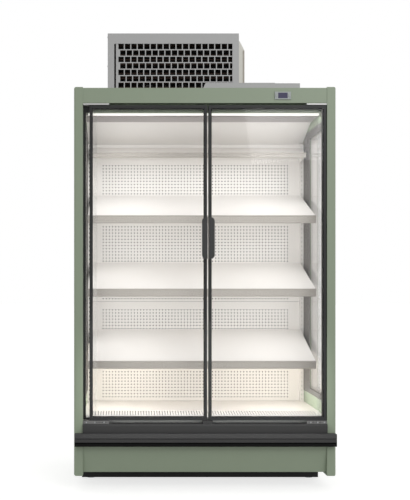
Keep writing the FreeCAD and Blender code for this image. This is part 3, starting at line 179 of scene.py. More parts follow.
def soft_lamp(name, place, aim, size, watts, shows=True):
    """A rectangular lamp that points at a spot."""
    data = bpy.data.lights.new(name, "AREA")
    data.shape = "RECTANGLE"
    data.size, data.size_y = size
    data.energy = watts
    lamp = bpy.data.objects.new(name, data)
    lamp.location = place
    lamp.rotation_euler = (Vector(aim) - Vector(place)).to_track_quat("-Z", "Y").to_euler()
    lamp.visible_camera = shows
    lamp.visible_glossy = shows
    scene.collection.objects.link(lamp)
    return lamp


soft_lamp("front_softbox", (2.2, -4.5, 3.4), (0, 0, 1.2), (3.0, 2.2), 60)
for sign in (-1, 1):
    for name, (x, *place), (aim_x, *aim), size, watts in PAIRED_LAMPS:
        lamp = soft_lamp(name, (sign * x, *place), (sign * aim_x, *aim), size, watts, shows=False)
        if name == "deck_light":
            lamp.data.color = WARM_WHITE
        if name == "end_wall_light":
            lamp.data.spread = WALL_BEAM
for name, place, aim, size, watts in MIDDLE_LAMPS:
    soft_lamp(name, place, aim, size, watts, shows=False)
print("one softbox and", 2 * len(PAIRED_LAMPS) + len(MIDDLE_LAMPS), "lamps inside the cabinet")

# %% [markdown]
# Most of the cabinet is painted sheet, moulded plastic or extruded metal. All of these
# share one recipe: an even colour with a faint drift across a large panel, a fine grain
# that breaks up the gloss, and an edge that is slightly rounded and painted lighter, as
# wear and as a painted highlight. The grain of real powder coat is under a millimetre, too
# fine for this picture, so it is drawn a few times coarser.

# %% A recipe for coated and moulded surfaces
DRIFT_MM = 260.0
FLAT_DOT = 0.995
BENT_DOT = 0.8
WEAR_AND_HIGHLIGHT_SHARE = 0.6
GLOSS_SPREAD = 0.06
RELIEF_STRENGTH = 0.35


def surface(name, colour, edge_wear_and_highlight, rough, grain_mm, relief_mm, edge_mm, metallic=0.0, drift=0.03, shine=0.5):
    """A finish with a drifting tone, a fine grain and rounded edges painted lighter, as wear and as a painted
    highlight.
    """
    finish = bpy.data.materials.new(name)
    finish.use_nodes = True
    tree = finish.node_tree
    shader = tree.nodes["Principled BSDF"]
    shader.inputs["Metallic"].default_value = metallic
    shader.inputs["Specular IOR Level"].default_value = shine
    spot = add(tree, "ShaderNodeTexCoord", {}).outputs["Object"]
    cloud = add(tree, "ShaderNodeTexNoise", {"Vector": spot, "Scale": 1 / (DRIFT_MM * MM), "Detail": 3.0})
    base = linear(colour)
    dark = tuple(c * (1 - drift) for c in base[:3]) + (1,)
    pale = tuple(min(1, c * (1 + drift)) for c in base[:3]) + (1,)
    tone = add(tree, "ShaderNodeMix", {0: cloud.outputs[0], 6: dark, 7: pale}, data_type="RGBA")
    rounded = add(tree, "ShaderNodeBevel", {"Radius": edge_mm * MM}, samples=4)
    true = add(tree, "ShaderNodeNewGeometry", {})
    bend = add(tree, "ShaderNodeVectorMath", {0: rounded.outputs[0], 1: true.outputs["Normal"]},
               operation="DOT_PRODUCT")
    # The edge mask paints rounded edges lighter: partly wear, partly a painted highlight.
    edge = add(tree, "ShaderNodeMapRange", {"Value": bend.outputs["Value"], "From Min": FLAT_DOT,
                                            "From Max": BENT_DOT, "To Min": 0.0, "To Max": WEAR_AND_HIGHLIGHT_SHARE})
    worn_and_lit = add(tree, "ShaderNodeMix", {0: edge.outputs[0], 6: tone.outputs[2], 7: linear(edge_wear_and_highlight)},
               data_type="RGBA")
    grain = add(tree, "ShaderNodeTexNoise", {"Vector": spot, "Scale": 1 / (grain_mm * MM), "Detail": 2.0})
    gloss = add(tree, "ShaderNodeMapRange", {"Value": grain.outputs[0], "To Min": rough - GLOSS_SPREAD,
                                             "To Max": rough + GLOSS_SPREAD})
    relief = add(tree, "ShaderNodeBump", {"Height": grain.outputs[0], "Distance": relief_mm * MM,
                                          "Strength": RELIEF_STRENGTH, "Normal": rounded.outputs[0]})
    tree.links.new(worn_and_lit.outputs[2], shader.inputs["Base Color"])
    tree.links.new(gloss.outputs[0], shader.inputs["Roughness"])
    tree.links.new(relief.outputs[0], shader.inputs["Normal"])
    return finish


print("tones drift over", DRIFT_MM, "mm")

# %% [markdown]
# The outer panels are steel, powder coated in a grey-green: satin, with a soft broad
# highlight. Inside, the shelves, deck and duct sheets have a white coat, and the foamed
# walls have a plain coated skin. The roof unit is grey, its cowl cream.

# %% Powder coats
sage_coat = surface("powder_coated_steel_sage", "#95A28C", "#AAB5A1", 0.46, 2.2, 0.10, 1.5)
white_coat = surface("powder_coated_steel_white", "#E8E5E1", "#F2F0EC", 0.42, 2.0, 0.08, 1.0, drift=0.015)
panel_skin = surface("coated_steel_skin", "#D9DAD7", "#E6E6E3", 0.5, 3.0, 0.08, 1.0)
grey_coat = surface("powder_coated_steel_grey", "#B7B7B7", "#CACACA", 0.48, 2.2, 0.10, 1.2)
cream_coat = surface("powder_coated_steel_cream", "#EAE8DF", "#F0EEE7", 0.48, 2.2, 0.10, 1.2)
black_coat = surface("powder_coated_steel_black", "#2A2A2A", "#3A3A3A", 0.55, 2.2, 0.10, 1.2, shine=0.2)
print("powder coats:", sage_coat.name, white_coat.name, grey_coat.name)

# %% [markdown]
# The bumper, sill and door pulls are moulded ABS with a fine spark-eroded texture that
# catches a wide, dull highlight. The door frames are extruded aluminium, anodised black:
# metal under a dark film. The window trims are coated a matte grey, and the hinge plates
# are zinc-plated steel.

# %% Plastics and metals
black_abs = surface("moulded_abs_black", "#222222", "#3C3C3C", 0.38, 1.6, 0.12, 2.0)
grey_abs = surface("moulded_abs_dark_grey", "#383838", "#575757", 0.5, 1.6, 0.12, 2.0, shine=0.3)
pale_abs = surface("moulded_abs_pale_grey", "#A6ACAB", "#BCC2C1", 0.4, 1.4, 0.08, 1.2)
# Painted shade: the honeycomb outlet is drawn a darker warm grey, for the shade on the canopy's underside.
outlet_painted_shade_grey = surface("pale_abs_greyed_as_painted_shade", "#A9A3A3", "#BCB6B6", 0.5, 1.6, 0.08, 0.8)
taupe_abs = surface("moulded_abs_taupe", "#B5AEA3", "#C4BDB3", 0.5, 1.6, 0.08, 0.5)
# Painted shade: the canopy panel's white coat is drawn warm grey, for the shade that its own lamp does not
# reach.
canopy_painted_shade_grey = surface("white_coat_greyed_as_painted_shade", "#B4AEAE", "#C6C0C0", 0.5, 2.0, 0.08, 1.0)
black_spacer = surface("black_warm_edge_spacer", "#1B1B1B", "#2C2C2C", 0.6, 1.6, 0.05, 0.5, shine=0.2)
rail_pvc = surface("extruded_pvc_pale_grey", "#A09B94", "#B2ADA6", 0.38, 1.6, 0.06, 0.8)
black_nylon = surface("moulded_nylon_black", "#1E1E1E", "#3A3A3A", 0.5, 1.4, 0.10, 1.0)
black_anodised = surface("black_anodised_aluminium", "#2E2F2F", "#4A4B4B", 0.4, 1.2, 0.05, 1.0, shine=0.25)
satin_aluminium = surface("satin_anodised_aluminium", "#BDBAB7", "#D2D0CD", 0.34, 1.2, 0.05, 0.8,
                          metallic=0.85)
trim_coat = surface("powder_coated_trim_grey", "#757371", "#878583", 0.7, 1.6, 0.08, 0.8, shine=0.05)
galvanised = surface("galvanised_steel", "#A9ABAC", "#C0C2C3", 0.42, 8.0, 0.03, 0.8, metallic=0.8, drift=0.10)
fin_stock = surface("black_coated_fin_stock", "#191A1B", "#2A2B2C", 0.5, 1.2, 0.03, 0.3, metallic=0.2)
copper = surface("tarnished_copper_tube", "#4A352B", "#6A4C3C", 0.45, 1.5, 0.03, 0.5, metallic=0.7)
print("plastics and metals:", black_abs.name, black_anodised.name, satin_aluminium.name)

# %% [markdown]
# The bumper is a charcoal ABS rail. Below its second groove it is painted near black, as
# painted shade on the lower face that turns down from the light. It is one solid, so the
# colour changes at the groove's height. The hinge plates change the same way: the upper
# ones stay bright, and the lower ones, by the floor, are painted darker.

# %% Darker below a height
BUMPER_SHADE_TOP = 0.254
LOWER_PLATES_BELOW = 1.0


def darker_below(finish, level, colour):
    """Gives a finish another colour below a height in metres."""
    tree = finish.node_tree
    shader = tree.nodes["Principled BSDF"]
    upper = shader.inputs["Base Color"].links[0].from_socket
    spot = add(tree, "ShaderNodeTexCoord", {}).outputs["Object"]
    height = add(tree, "ShaderNodeSeparateXYZ", {"Vector": spot}).outputs["Z"]
    below = add(tree, "ShaderNodeMath", {0: height, 1: level}, operation="LESS_THAN")
    split = add(tree, "ShaderNodeMix", {0: below.outputs[0], 6: upper, 7: linear(colour)}, data_type="RGBA")
    tree.links.new(split.outputs[2], shader.inputs["Base Color"])
    print(finish.name, "changes tone at", level, "m")


bumper_abs = surface("abs_rail_with_painted_shade_below", "#4C4C4C", "#6A6A6A", 0.5, 1.6, 0.12, 2.5, shine=0.05)
# Painted shade: below this height the bumper's lower face, turned down from the light, is coloured near
# black.
darker_below(bumper_abs, BUMPER_SHADE_TOP, "#0B0B0B")
zinc_plate = surface("zinc_plated_steel", "#D3D3D1", "#E2E2E0", 0.42, 1.6, 0.04, 0.8, metallic=0.4)
# Below this height the lower hinge plates are coloured darker than the upper ones.
darker_below(zinc_plate, LOWER_PLATES_BELOW, "#6E6E6D")

# %% [markdown]
# Glass, clear seals and the lamp let light through. Clean flat panes hardly show against
# a bright interior, so the glass is a nearly clear sheet with a sharp gloss. The seal
# strips are clear PVC, cloudier than glass. The lamp cover is opal acrylic that glows.

# %% Clear materials


def clear_sheet(name, colour, alpha, rough, ior):
    """A see-through sheet with a faint colour and a glossy face."""
    finish = bpy.data.materials.new(name)
    finish.use_nodes = True
    shader = finish.node_tree.nodes["Principled BSDF"]
    settings = {"Base Color": linear(colour), "Alpha": alpha, "Roughness": rough, "IOR": ior}
    for socket, given in settings.items():
        shader.inputs[socket].default_value = given
    return finish


SLANT_POWER = 4.0
SHINE_AHEAD = 0.008
SHINE_ASIDE = 0.7
float_glass = bpy.data.materials.new("toughened_float_glass")
float_glass.use_nodes = True
tree = float_glass.node_tree
tree.nodes.clear()
facing = add(tree, "ShaderNodeLayerWeight", {"Blend": 0.5})
slant = add(tree, "ShaderNodeMath", {0: facing.outputs["Facing"], 1: SLANT_POWER}, operation="POWER")
shine = add(tree, "ShaderNodeMapRange", {"Value": slant.outputs[0], "To Min": SHINE_AHEAD,
                                         "To Max": SHINE_ASIDE})
through = add(tree, "ShaderNodeBsdfTransparent", {"Color": (1, 1, 1, 1)})
mirror = add(tree, "ShaderNodeBsdfGlossy", {"Color": (1, 1, 1, 1), "Roughness": 0.03})
pane_mix = add(tree, "ShaderNodeMixShader", {0: shine.outputs[0], 1: through.outputs[0],
                                             2: mirror.outputs[0]})
add(tree, "ShaderNodeOutputMaterial", {"Surface": pane_mix.outputs[0]})
clear_pvc = clear_sheet("clear_soft_pvc", "#DADAD6", 0.05, 0.2, 1.53)
tinted_acrylic = surface("tinted_acrylic_window", "#46435F", "#5E5B7C", 0.34, 1.0, 0.01, 0.5, shine=0.2)
LAMP_GLOW = 0.8
opal_acrylic = clear_sheet("opal_acrylic", "#FFFFFF", 1.0, 0.35, 1.49)
opal_shader = opal_acrylic.node_tree.nodes["Principled BSDF"]
opal_shader.inputs["Emission Color"].default_value = linear("#FFFCF4")
opal_shader.inputs["Emission Strength"].default_value = LAMP_GLOW
print("clear materials:", float_glass.name, clear_pvc.name, opal_acrylic.name)

# %% [markdown]
# Each CAD solid whose shape is already right keeps it and takes its finish here. The
# solids are sorted by what they are made of on the real cabinet.

# %% Finishes for the CAD solids
FINISHES = (
    (sage_coat, "left_end_panel right_end_panel header_panel lower_front_panel"),
    (white_coat, "shelf_1 shelf_2 shelf_3 shelf_4 shelf_brackets shelf_uprights deck_pan return_grille"),
    (white_coat, "rear_panels rear_hood"),
    (canopy_painted_shade_grey, "canopy_panel"),
    (outlet_painted_shade_grey, "air_outlet"),
    (panel_skin, "insulated_tub rear_wall roof_panel"),
    (grey_abs, "front_sill door_catch"),
    (bumper_abs, "bumper"),
    (black_abs, "left_door_handle right_door_handle"),
    (black_coat, "kick_plate base_frame compressor condenser_shroud"),
    (black_anodised, "left_door_frame right_door_frame door_jambs"),
    (float_glass, "left_door_glass right_door_glass window_glass"),
    (clear_pvc, "seal_strips left_door_gasket right_door_gasket"),
    (zinc_plate, "hinge_plates"),
    (trim_coat, "window_trims"),
    (rail_pvc, "price_rails"),
    (opal_acrylic, "canopy_lamp"),
    (grey_coat, "unit_housing unit_grille unit_tray wiring_trunk"),
    (cream_coat, "unit_side_cowl"),
    (fin_stock, "condenser_coil evaporator_coil"),
    (black_nylon, "condenser_fan evaporator_fan_left evaporator_fan_right supply_gland"),
    (galvanised, "condenser_motor evaporator_motors evaporator_fan_plate levelling_feet"),
    (pale_abs, "controller_bezel controller_key_left controller_key_right"),
    (tinted_acrylic, "controller_display"),
)
for finish, names in FINISHES:
    for name in names.split():
        nodes[name].material_slots[0].material = finish
finished = {name for _, names in FINISHES for name in names.split()}
print(len(finished), "solids finished, missing:", sorted(set(nodes) - finished))

# %% [markdown]
# The fine pieces are meshes built from a few plain tools. Each new piece is placed from
# the box of the CAD solid that it stands for and rides on that solid's body.

# %% Mesh tools


def piece(name, bm, finish, body="cabinet", stands_for=()):
    """Turns a bmesh into a named piece that rides on a body."""
    bmesh.ops.recalc_face_normals(bm, faces=bm.faces)
    mesh = bpy.data.meshes.new(name)
    bm.to_mesh(mesh)
    bm.free()
    mesh.materials.append(finish)
    made = bpy.data.objects.new(name, mesh)
    scene.collection.objects.link(made)
    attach(made, body)
    if stands_for:
        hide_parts(*stands_for)
    print(name, len(mesh.polygons), "faces")
    return made


def bar(bm, low, high, bevel_mm=0.0):
    """Adds a block between two corners, its edges eased if asked."""
    low, high = Vector(low), Vector(high)
    corners = bmesh.ops.create_cube(bm, size=1.0)["verts"]
    for corner in corners:
        share = corner.co + Vector((0.5, 0.5, 0.5))
        corner.co = Vector(a + (b - a) * s for a, b, s in zip(low, high, share))
    if bevel_mm:
        edges = {edge for corner in corners for edge in corner.link_edges}
        bmesh.ops.bevel(bm, geom=list(edges), offset=bevel_mm * MM, segments=2, profile=0.5, affect="EDGES")


def along_x(bm, outline, start, end):
    """Extrudes a closed outline of (y, z) points along X."""
    ends = [[bm.verts.new((x, y, z)) for y, z in outline] for x in (start, end)]
    count = len(outline)
    for i in range(count):
        j = (i + 1) % count
        bm.faces.new((ends[0][i], ends[0][j], ends[1][j], ends[1][i]))
    bm.faces.new(ends[0][::-1])
    bm.faces.new(ends[1])


def sweep(bm, points, radius, sides=10):
    """Adds a round tube that follows a line of points."""
    points = [Vector(point) for point in points]
    rings = []
    up = Vector((0, 1, 0))
    for i, point in enumerate(points):
        ahead = points[min(i + 1, len(points) - 1)] - points[max(i - 1, 0)]
        side = ahead.cross(up).normalized()
        over = side.cross(ahead).normalized()
        ring = []
        for k in range(sides):
            turn = 2 * math.pi * k / sides
            ring.append(bm.verts.new(point + side * radius * math.cos(turn) + over * radius * math.sin(turn)))
        rings.append(ring)
    for first, second in zip(rings, rings[1:]):
        for k in range(sides):
            j = (k + 1) % sides
            bm.faces.new((first[k], first[j], second[j], second[k]))
    bm.faces.new(rings[0])
    bm.faces.new(rings[-1])


def punched(bm, columns, rows, hole_x, hole_z, y, sides=8, rim_y=None, rim_scale=1.0):
    """Adds a field of cells in the XZ plane, each with a hole in its middle, sunk if a rim is given."""
    spots = {}

    def spot(x, z):
        key = (round(x, 6), round(z, 6))
        if key not in spots:
            spots[key] = bm.verts.new((x, y, z))
        return spots[key]

    for x0, x1 in zip(columns, columns[1:]):
        for z0, z1 in zip(rows, rows[1:]):
            xm, zm = (x0 + x1) / 2, (z0 + z1) / 2
            rim = [(x1, zm), (x1, z1), (xm, z1), (x0, z1), (x0, zm), (x0, z0), (xm, z0), (x1, z0)]
            outer = [spot(*point) for point in rim]
            inner = []
            for k in range(sides):
                turn = 2 * math.pi * k / sides
                inner.append(bm.verts.new((xm + hole_x * math.cos(turn), y, zm + hole_z * math.sin(turn))))
            for k in range(sides):
                j = (k + 1) % sides
                bm.faces.new((outer[k], outer[j], inner[j], inner[k]))
            if rim_y is None:
                continue
            sunk = []
            for point in inner:
                x = xm + (point.co.x - xm) * rim_scale
                z = zm + (point.co.z - zm) * rim_scale
                sunk.append(bm.verts.new((x, rim_y, z)))
            for k in range(sides):
                j = (k + 1) % sides
                bm.faces.new((inner[k], inner[j], sunk[j], sunk[k]))


def steps(low, high, pitch):
    """Even cell edges, centred between two limits."""
    count = int((high - low) / pitch)
    first = (low + high - count * pitch) / 2
    return [first + i * pitch for i in range(count + 1)]


print("mesh tools ready")

# %% [markdown]
# Cold air reaches the shelves through punched duct sheets at the back: steel panels with
# small round holes, 5 mm on a 15 mm grid. Painted dots would look flat from close by, so
# the holes are real, and drawn a little larger and wider apart so that they show. The
# sheets stand in a stack, each with folded edges and a plain strip along its top.

# %% Punched duct panels
HOLE_PITCH = 18 * MM
HOLE_RADIUS = 3.5 * MM
PLAIN_BORDER = 52 * MM
LOWER_BORDER = 6 * MM
UPPER_BORDER = 34 * MM
PANEL_JOINTS = (0.590, 0.945, 1.420, 1.775)
JOINT_GAP = 0.6 * MM
low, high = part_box("rear_panels")
joints = [low[2], *PANEL_JOINTS, high[2]]
bm = bmesh.new()
face_y = low[1]
for z0, z1 in zip(joints, joints[1:]):
    z0, z1 = z0 + JOINT_GAP, z1 - JOINT_GAP
    columns = steps(low[0] + PLAIN_BORDER, high[0] - PLAIN_BORDER, HOLE_PITCH)
    rows = steps(z0 + LOWER_BORDER, z1 - UPPER_BORDER, HOLE_PITCH)
    punched(bm, columns, rows, HOLE_RADIUS, HOLE_RADIUS, face_y)
    frame_lines = ((low[0], z0, columns[0], z1), (columns[-1], z0, high[0], z1),
                   (columns[0], z0, columns[-1], rows[0]), (columns[0], rows[-1], columns[-1], z1))
    for xa, za, xb, zb in frame_lines:
        bm.faces.new([bm.verts.new((x, face_y, z)) for x, z in ((xa, za), (xb, za), (xb, zb), (xa, zb))])
    for z in (z0, z1):
        fold = [(low[0], face_y, z), (high[0], face_y, z), (high[0], high[1], z), (low[0], high[1], z)]
        bm.faces.new([bm.verts.new(point) for point in fold])
piece("punched_duct_panels", bm, white_coat, stands_for=["rear_panels"])

# %% [markdown]
# The shelves hang on uprights: folded steel channels with a column of slots that the
# bracket hooks drop into. Each slot is cut out of the face, and the channel's two flanks
# are flat sheets.

# %% Slotted uprights
SLOT_PITCH = 25 * MM
SLOT_HALF_WIDTH = 1.8 * MM
SLOT_HALF_HEIGHT = 6 * MM
FLANK = 1.5 * MM
UPRIGHT_WIDTH = 22 * MM
low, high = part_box("shelf_uprights")
bm = bmesh.new()
for x0 in (low[0], high[0] - UPRIGHT_WIDTH):
    x1 = x0 + UPRIGHT_WIDTH
    rows = steps(low[2], high[2], SLOT_PITCH)
    punched(bm, [x0, x1], rows, SLOT_HALF_WIDTH, SLOT_HALF_HEIGHT, low[1])
    for za, zb in ((low[2], rows[0]), (rows[-1], high[2])):
        if zb - za > MM:
            bm.faces.new([bm.verts.new((x, low[1], z)) for x, z in ((x0, za), (x1, za), (x1, zb), (x0, zb))])
    for xa in (x0, x1 - FLANK):
        bar(bm, (xa, low[1] + FLANK, low[2]), (xa + FLANK, high[1], high[2]))
piece("slotted_uprights", bm, white_coat, stands_for=["shelf_uprights"])

# %% [markdown]
# The air goes back down through a slotted sheet in front of the deck. Its real slots are
# about 9 mm apart, which blurs to a flat grey in this picture, so they are drawn wider
# apart. The sheet is a grid of faces without those of the slots, set on the slope of the
# solid that it stands for and then given its thickness.

# %% Slotted return grille
RETURN_PITCH = 14 * MM
RETURN_SLOT = 4.5 * MM
RETURN_SHEET = 2 * MM
RETURN_EDGE = 5 * MM
RETURN_END = 23 * MM
low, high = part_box("return_grille")
rise = (high[2] - low[2] - RETURN_SHEET) / (high[1] - low[1])
columns = [low[0]]
for x in steps(low[0] + RETURN_END, high[0] - RETURN_END, RETURN_PITCH)[:-1]:
    columns += [x + (RETURN_PITCH - RETURN_SLOT) / 2, x + (RETURN_PITCH + RETURN_SLOT) / 2]
columns.append(high[0])
rows = [low[1], low[1] + RETURN_EDGE, high[1] - RETURN_EDGE, high[1]]
bm = bmesh.new()
grid = []
for x in columns:
    grid.append([bm.verts.new((x, y, low[2] + RETURN_SHEET + (y - low[1]) * rise)) for y in rows])
for i, (left, right) in enumerate(zip(grid, grid[1:])):
    for j in range(3):
        is_slot = j == 1 and i % 2 == 1
        if not is_slot:
            bm.faces.new((left[j], right[j], right[j + 1], left[j + 1]))
underside = bmesh.ops.extrude_face_region(bm, geom=bm.faces[:])["geom"]
for point in underside:
    if isinstance(point, bmesh.types.BMVert):
        point.co.z -= RETURN_SHEET
piece("slotted_return_grille", bm, white_coat, stands_for=["return_grille"])

# %% [markdown]
# Air leaves the canopy through a honeycomb, which makes it fall as a smooth curtain. Real
# cells are about 8 mm across, too small for this picture, so they are drawn at 14 mm.
# Walls shared by two cells are made once and thickened.

# %% Honeycomb air outlet
CELL = 14 * MM
CELL_WALL = 0.8 * MM
CELL_RECESS = 1 * MM
RIM = 4 * MM
low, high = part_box("air_outlet")
bm = bmesh.new()
side = CELL / math.sqrt(3)
corner_angles = [math.radians(60 * k + 30) for k in range(6)]
walls = set()
row = 0
y = low[1] + RIM + side
while y + side < high[1] - RIM:
    x = low[0] + RIM + CELL / 2 + (CELL / 2 if row % 2 else 0)
    while x + CELL / 2 < high[0] - RIM:
        hexagon = []
        for angle in corner_angles:
            hexagon.append((round(x + side * math.cos(angle), 6), round(y + side * math.sin(angle), 6)))
        for k in range(6):
            walls.add(frozenset((hexagon[k], hexagon[(k + 1) % 6])))
        x += CELL
    y += 1.5 * side
    row += 1
for a, b in sorted(sorted(wall) for wall in walls):
    across = Vector((-(b[1] - a[1]), b[0] - a[0], 0)).normalized() * CELL_WALL / 2
    start, end = Vector((*a, 0)), Vector((*b, 0))
    corners = [start - across, end - across, end + across, start + across]
    rings = [[bm.verts.new((c.x, c.y, z)) for c in corners] for z in (low[2] + CELL_RECESS, high[2])]
    for k in range(4):
        bm.faces.new((rings[0][k], rings[0][(k + 1) % 4], rings[1][(k + 1) % 4], rings[1][k]))
    bm.faces.new(rings[0][::-1])
    bm.faces.new(rings[1])
for a, b in (((low[0], low[1]), (high[0], low[1] + RIM)), ((low[0], high[1] - RIM), (high[0], high[1])),
             ((low[0], low[1] + RIM), (low[0] + RIM, high[1] - RIM)),
             ((high[0] - RIM, low[1] + RIM), (high[0], high[1] - RIM))):
    bar(bm, (*a, low[2]), (*b, high[2]), bevel_mm=0.5)
piece("honeycomb_air_outlet", bm, outlet_painted_shade_grey, stands_for=["air_outlet"])

# %% [markdown]
# The canopy lamp is an LED strip in an aluminium profile under a rounded opal cover. The
# cover is the lowest part, so it shows as a bright line below the header.

# %% Canopy lamp
COVER_HEIGHT = 17 * MM
COVER_ROUND = 7 * MM
ROUND_STEPS = 6
CAP = 6 * MM
low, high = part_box("canopy_lamp")
cover_top = low[2] + COVER_HEIGHT
cover = [(low[1], cover_top), (high[1], cover_top)]
for middle, first_angle in ((high[1] - COVER_ROUND, 0), (low[1] + COVER_ROUND, 90)):
    for k in range(ROUND_STEPS + 1):
        turn = math.radians(first_angle + 90 * k / ROUND_STEPS)
        drop = COVER_ROUND - COVER_ROUND * math.sin(turn)
        cover.append((middle + COVER_ROUND * math.cos(turn), low[2] + drop))
bm = bmesh.new()
along_x(bm, cover, low[0] + CAP, high[0] - CAP)
piece("lamp_cover", bm, opal_acrylic, stands_for=["canopy_lamp"])
bm = bmesh.new()
bar(bm, (low[0] + CAP, low[1], cover_top), (high[0] - CAP, high[1], high[2]), bevel_mm=1.0)
piece("lamp_profile", bm, satin_aluminium)
bm = bmesh.new()
for x0 in (low[0], high[0] - CAP):
    bar(bm, (x0, low[1], low[2]), (x0 + CAP, high[1], high[2]), bevel_mm=2.0)
piece("lamp_end_caps", bm, pale_abs)

# %% [markdown]
# Each shelf ends in a price rail: an extruded PVC strip with a bead along its top and
# bottom and a shallow bay between them. Its outline is drawn once and extruded along X.

# %% Price rails
BEAD = 5 * MM
BAY_DEPTH = 2.5 * MM
low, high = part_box("price_rails")
solid = nodes["price_rails"].data
tops = sorted({round(v.co.z, 4) for v in solid.vertices})
bm = bmesh.new()
for z0, z1 in zip(tops[0::2], tops[1::2]):
    front = min(v.co.y for v in solid.vertices if abs(v.co.z - z1) < MM)
    back = max(v.co.y for v in solid.vertices if abs(v.co.z - z1) < MM)
    half = BEAD / 2
    rail = [(back, z0), (back, z1), (front + half, z1), (front, z1 - half), (front, z1 - BEAD),
            (front + BAY_DEPTH, z1 - BEAD - half), (front + BAY_DEPTH, z0 + BEAD + half),
            (front, z0 + BEAD), (front, z0 + half), (front + half, z0)]
    along_x(bm, rail, low[0], high[0])
piece("beaded_price_rails", bm, rail_pvc, stands_for=["price_rails"])

# %% [markdown]
# Both coils are the same kind of thing: a stack of thin fins with a copper tube that runs
# to and fro through them. Real fins stand 2 to 4 mm apart. They are drawn a little wider,
# as coarse as they need to be to show through the grille.

# %% Finned coils
FIN = 0.4 * MM
END_SHEET = 2 * MM
TUBE_RADIUS = 4.5 * MM
BEND_STEPS = 8


def finned_coil(name, node, fin_pitch, tube_pitch, columns, overhang):
    """Fins across a box and one serpentine tube for each column of holes."""
    low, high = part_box(node)
    bm = bmesh.new()
    count = int((high[0] - low[0]) / fin_pitch)
    for i in range(1, count):
        x = low[0] + (high[0] - low[0]) * i / count
        bar(bm, (x - FIN / 2, low[1] + MM, low[2] + MM), (x + FIN / 2, high[1] - MM, high[2] - MM))
    piece(f"{name}_fins", bm, fin_stock, stands_for=[node])
    bm = bmesh.new()
    for x in (low[0], high[0] - END_SHEET):
        bar(bm, (x, low[1], low[2]), (x + END_SHEET, high[1], high[2]), bevel_mm=0.5)
    piece(f"{name}_end_sheets", bm, galvanised)
    bm = bmesh.new()
    runs = int((high[2] - low[2] - tube_pitch) / tube_pitch) + 1
    first = (low[2] + high[2] - (runs - 1) * tube_pitch) / 2
    bend = tube_pitch / 2
    for column in range(columns):
        y = low[1] + (high[1] - low[1]) * (column + 0.5) / columns
        points = []
        for run in range(runs):
            z = first + run * tube_pitch
            rightward = run % 2 == 0
            start, end = (low[0], high[0]) if rightward else (high[0], low[0])
            points += [(start, y, z), (end, y, z)]
            if run < runs - 1:
                sign = 1 if rightward else -1
                for k in range(1, BEND_STEPS):
                    turn = math.pi * k / BEND_STEPS
                    reach = min(bend, overhang) * math.sin(turn)
                    points.append((end + sign * reach, y, z + bend - bend * math.cos(turn)))
        sweep(bm, points, TUBE_RADIUS)
    piece(f"{name}_tubes", bm, copper)


finned_coil("condenser", "condenser_coil", fin_pitch=5 * MM, tube_pitch=25 * MM, columns=2, overhang=14 * MM)
finned_coil("evaporator", "evaporator_coil", fin_pitch=9 * MM, tube_pitch=27 * MM, columns=4,
            overhang=20 * MM)

# %% [markdown]
# A sealed double pane is held apart by a spacer bar all round. In the doors it is a thin
# black warm-edge bar, which hardly shows beside the frame. In the side windows it is pale,
# and a thin grey sheet lines the opening between the glass and the inner trim.

# %% Glass spacers
DOOR_SPACER = 3 * MM
WINDOW_SPACER = 8 * MM
REVEAL_SHEET = 1.5 * MM


def spacer_ring(bm, low, high, y0, y1, width, x_is_depth=False):
    """Four bars round the inside of a pane's edge."""
    a0, a1 = (low[1], high[1]) if x_is_depth else (low[0], high[0])
    z0, z1 = low[2], high[2]
    for aa, ab, za, zb in ((a0, a1, z0, z0 + width), (a0, a1, z1 - width, z1),
                           (a0, a0 + width, z0 + width, z1 - width),
                           (a1 - width, a1, z0 + width, z1 - width)):
        if x_is_depth:
            bar(bm, (y0, aa, za), (y1, ab, zb), bevel_mm=0.4)
        else:
            bar(bm, (aa, y0, za), (ab, y1, zb), bevel_mm=0.4)


PANE = 4 * MM
for side_name in ("left", "right"):
    low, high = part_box(f"{side_name}_door_glass")
    bm = bmesh.new()
    spacer_ring(bm, low, high, low[1] + PANE, high[1] - PANE, DOOR_SPACER)
    piece(f"{side_name}_door_spacer", bm, black_spacer, body=f"{side_name}_door")
low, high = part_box("window_glass")
panes = sorted({round(abs(v.co.x), 4) for v in nodes["window_glass"].data.vertices})
bm = bmesh.new()
for sign in (-1, 1):
    xs = sorted((sign * panes[1], sign * panes[2]))
    spacer_ring(bm, low, high, xs[0], xs[1], WINDOW_SPACER, x_is_depth=True)
piece("window_spacers", bm, satin_aluminium)
wall_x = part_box("right_end_panel")[0][0]
bm = bmesh.new()
for sign in (-1, 1):
    xs = sorted((sign * wall_x, sign * panes[0]))
    spacer_ring(bm, low, high, xs[0], xs[1], REVEAL_SHEET, x_is_depth=True)
piece("window_reveals", bm, trim_coat)
print("reveal from", round(wall_x, 4), "to", panes[0], "m")

# %% [markdown]
# Screws hold the sheet metal. Each is a low rounded head with a hexagon socket, turned
# from a small profile and set on its panel.

# %% Screw heads
# Radius and height in millimetres, from the rim to the floor of the socket
HEAD_PROFILE = ((4.0, 0.0), (4.0, 0.8), (3.2, 1.8), (2.0, 2.1), (2.0, 0.9))
HEAD_SIDES = 12


def screw_head(bm, place, outward):
    """A button head at a point of a panel, facing outward."""
    turn = Vector(outward).to_track_quat("Z", "Y").to_matrix().to_4x4()
    spot = Matrix.Translation(Vector(place)) @ turn
    rings = []
    for radius, height in HEAD_PROFILE:
        ring = []
        for k in range(HEAD_SIDES):
            angle = 2 * math.pi * k / HEAD_SIDES
            rim = Vector((radius * math.cos(angle), radius * math.sin(angle), height)) * MM
            ring.append(bm.verts.new(spot @ rim))
        rings.append(ring)
    for first, second in zip(rings, rings[1:]):
        for k in range(len(first)):
            j = (k + 1) % len(first)
            bm.faces.new((first[k], first[j], second[j], second[k]))
    bm.faces.new(rings[-1])
    bm.faces.new(rings[0][::-1])


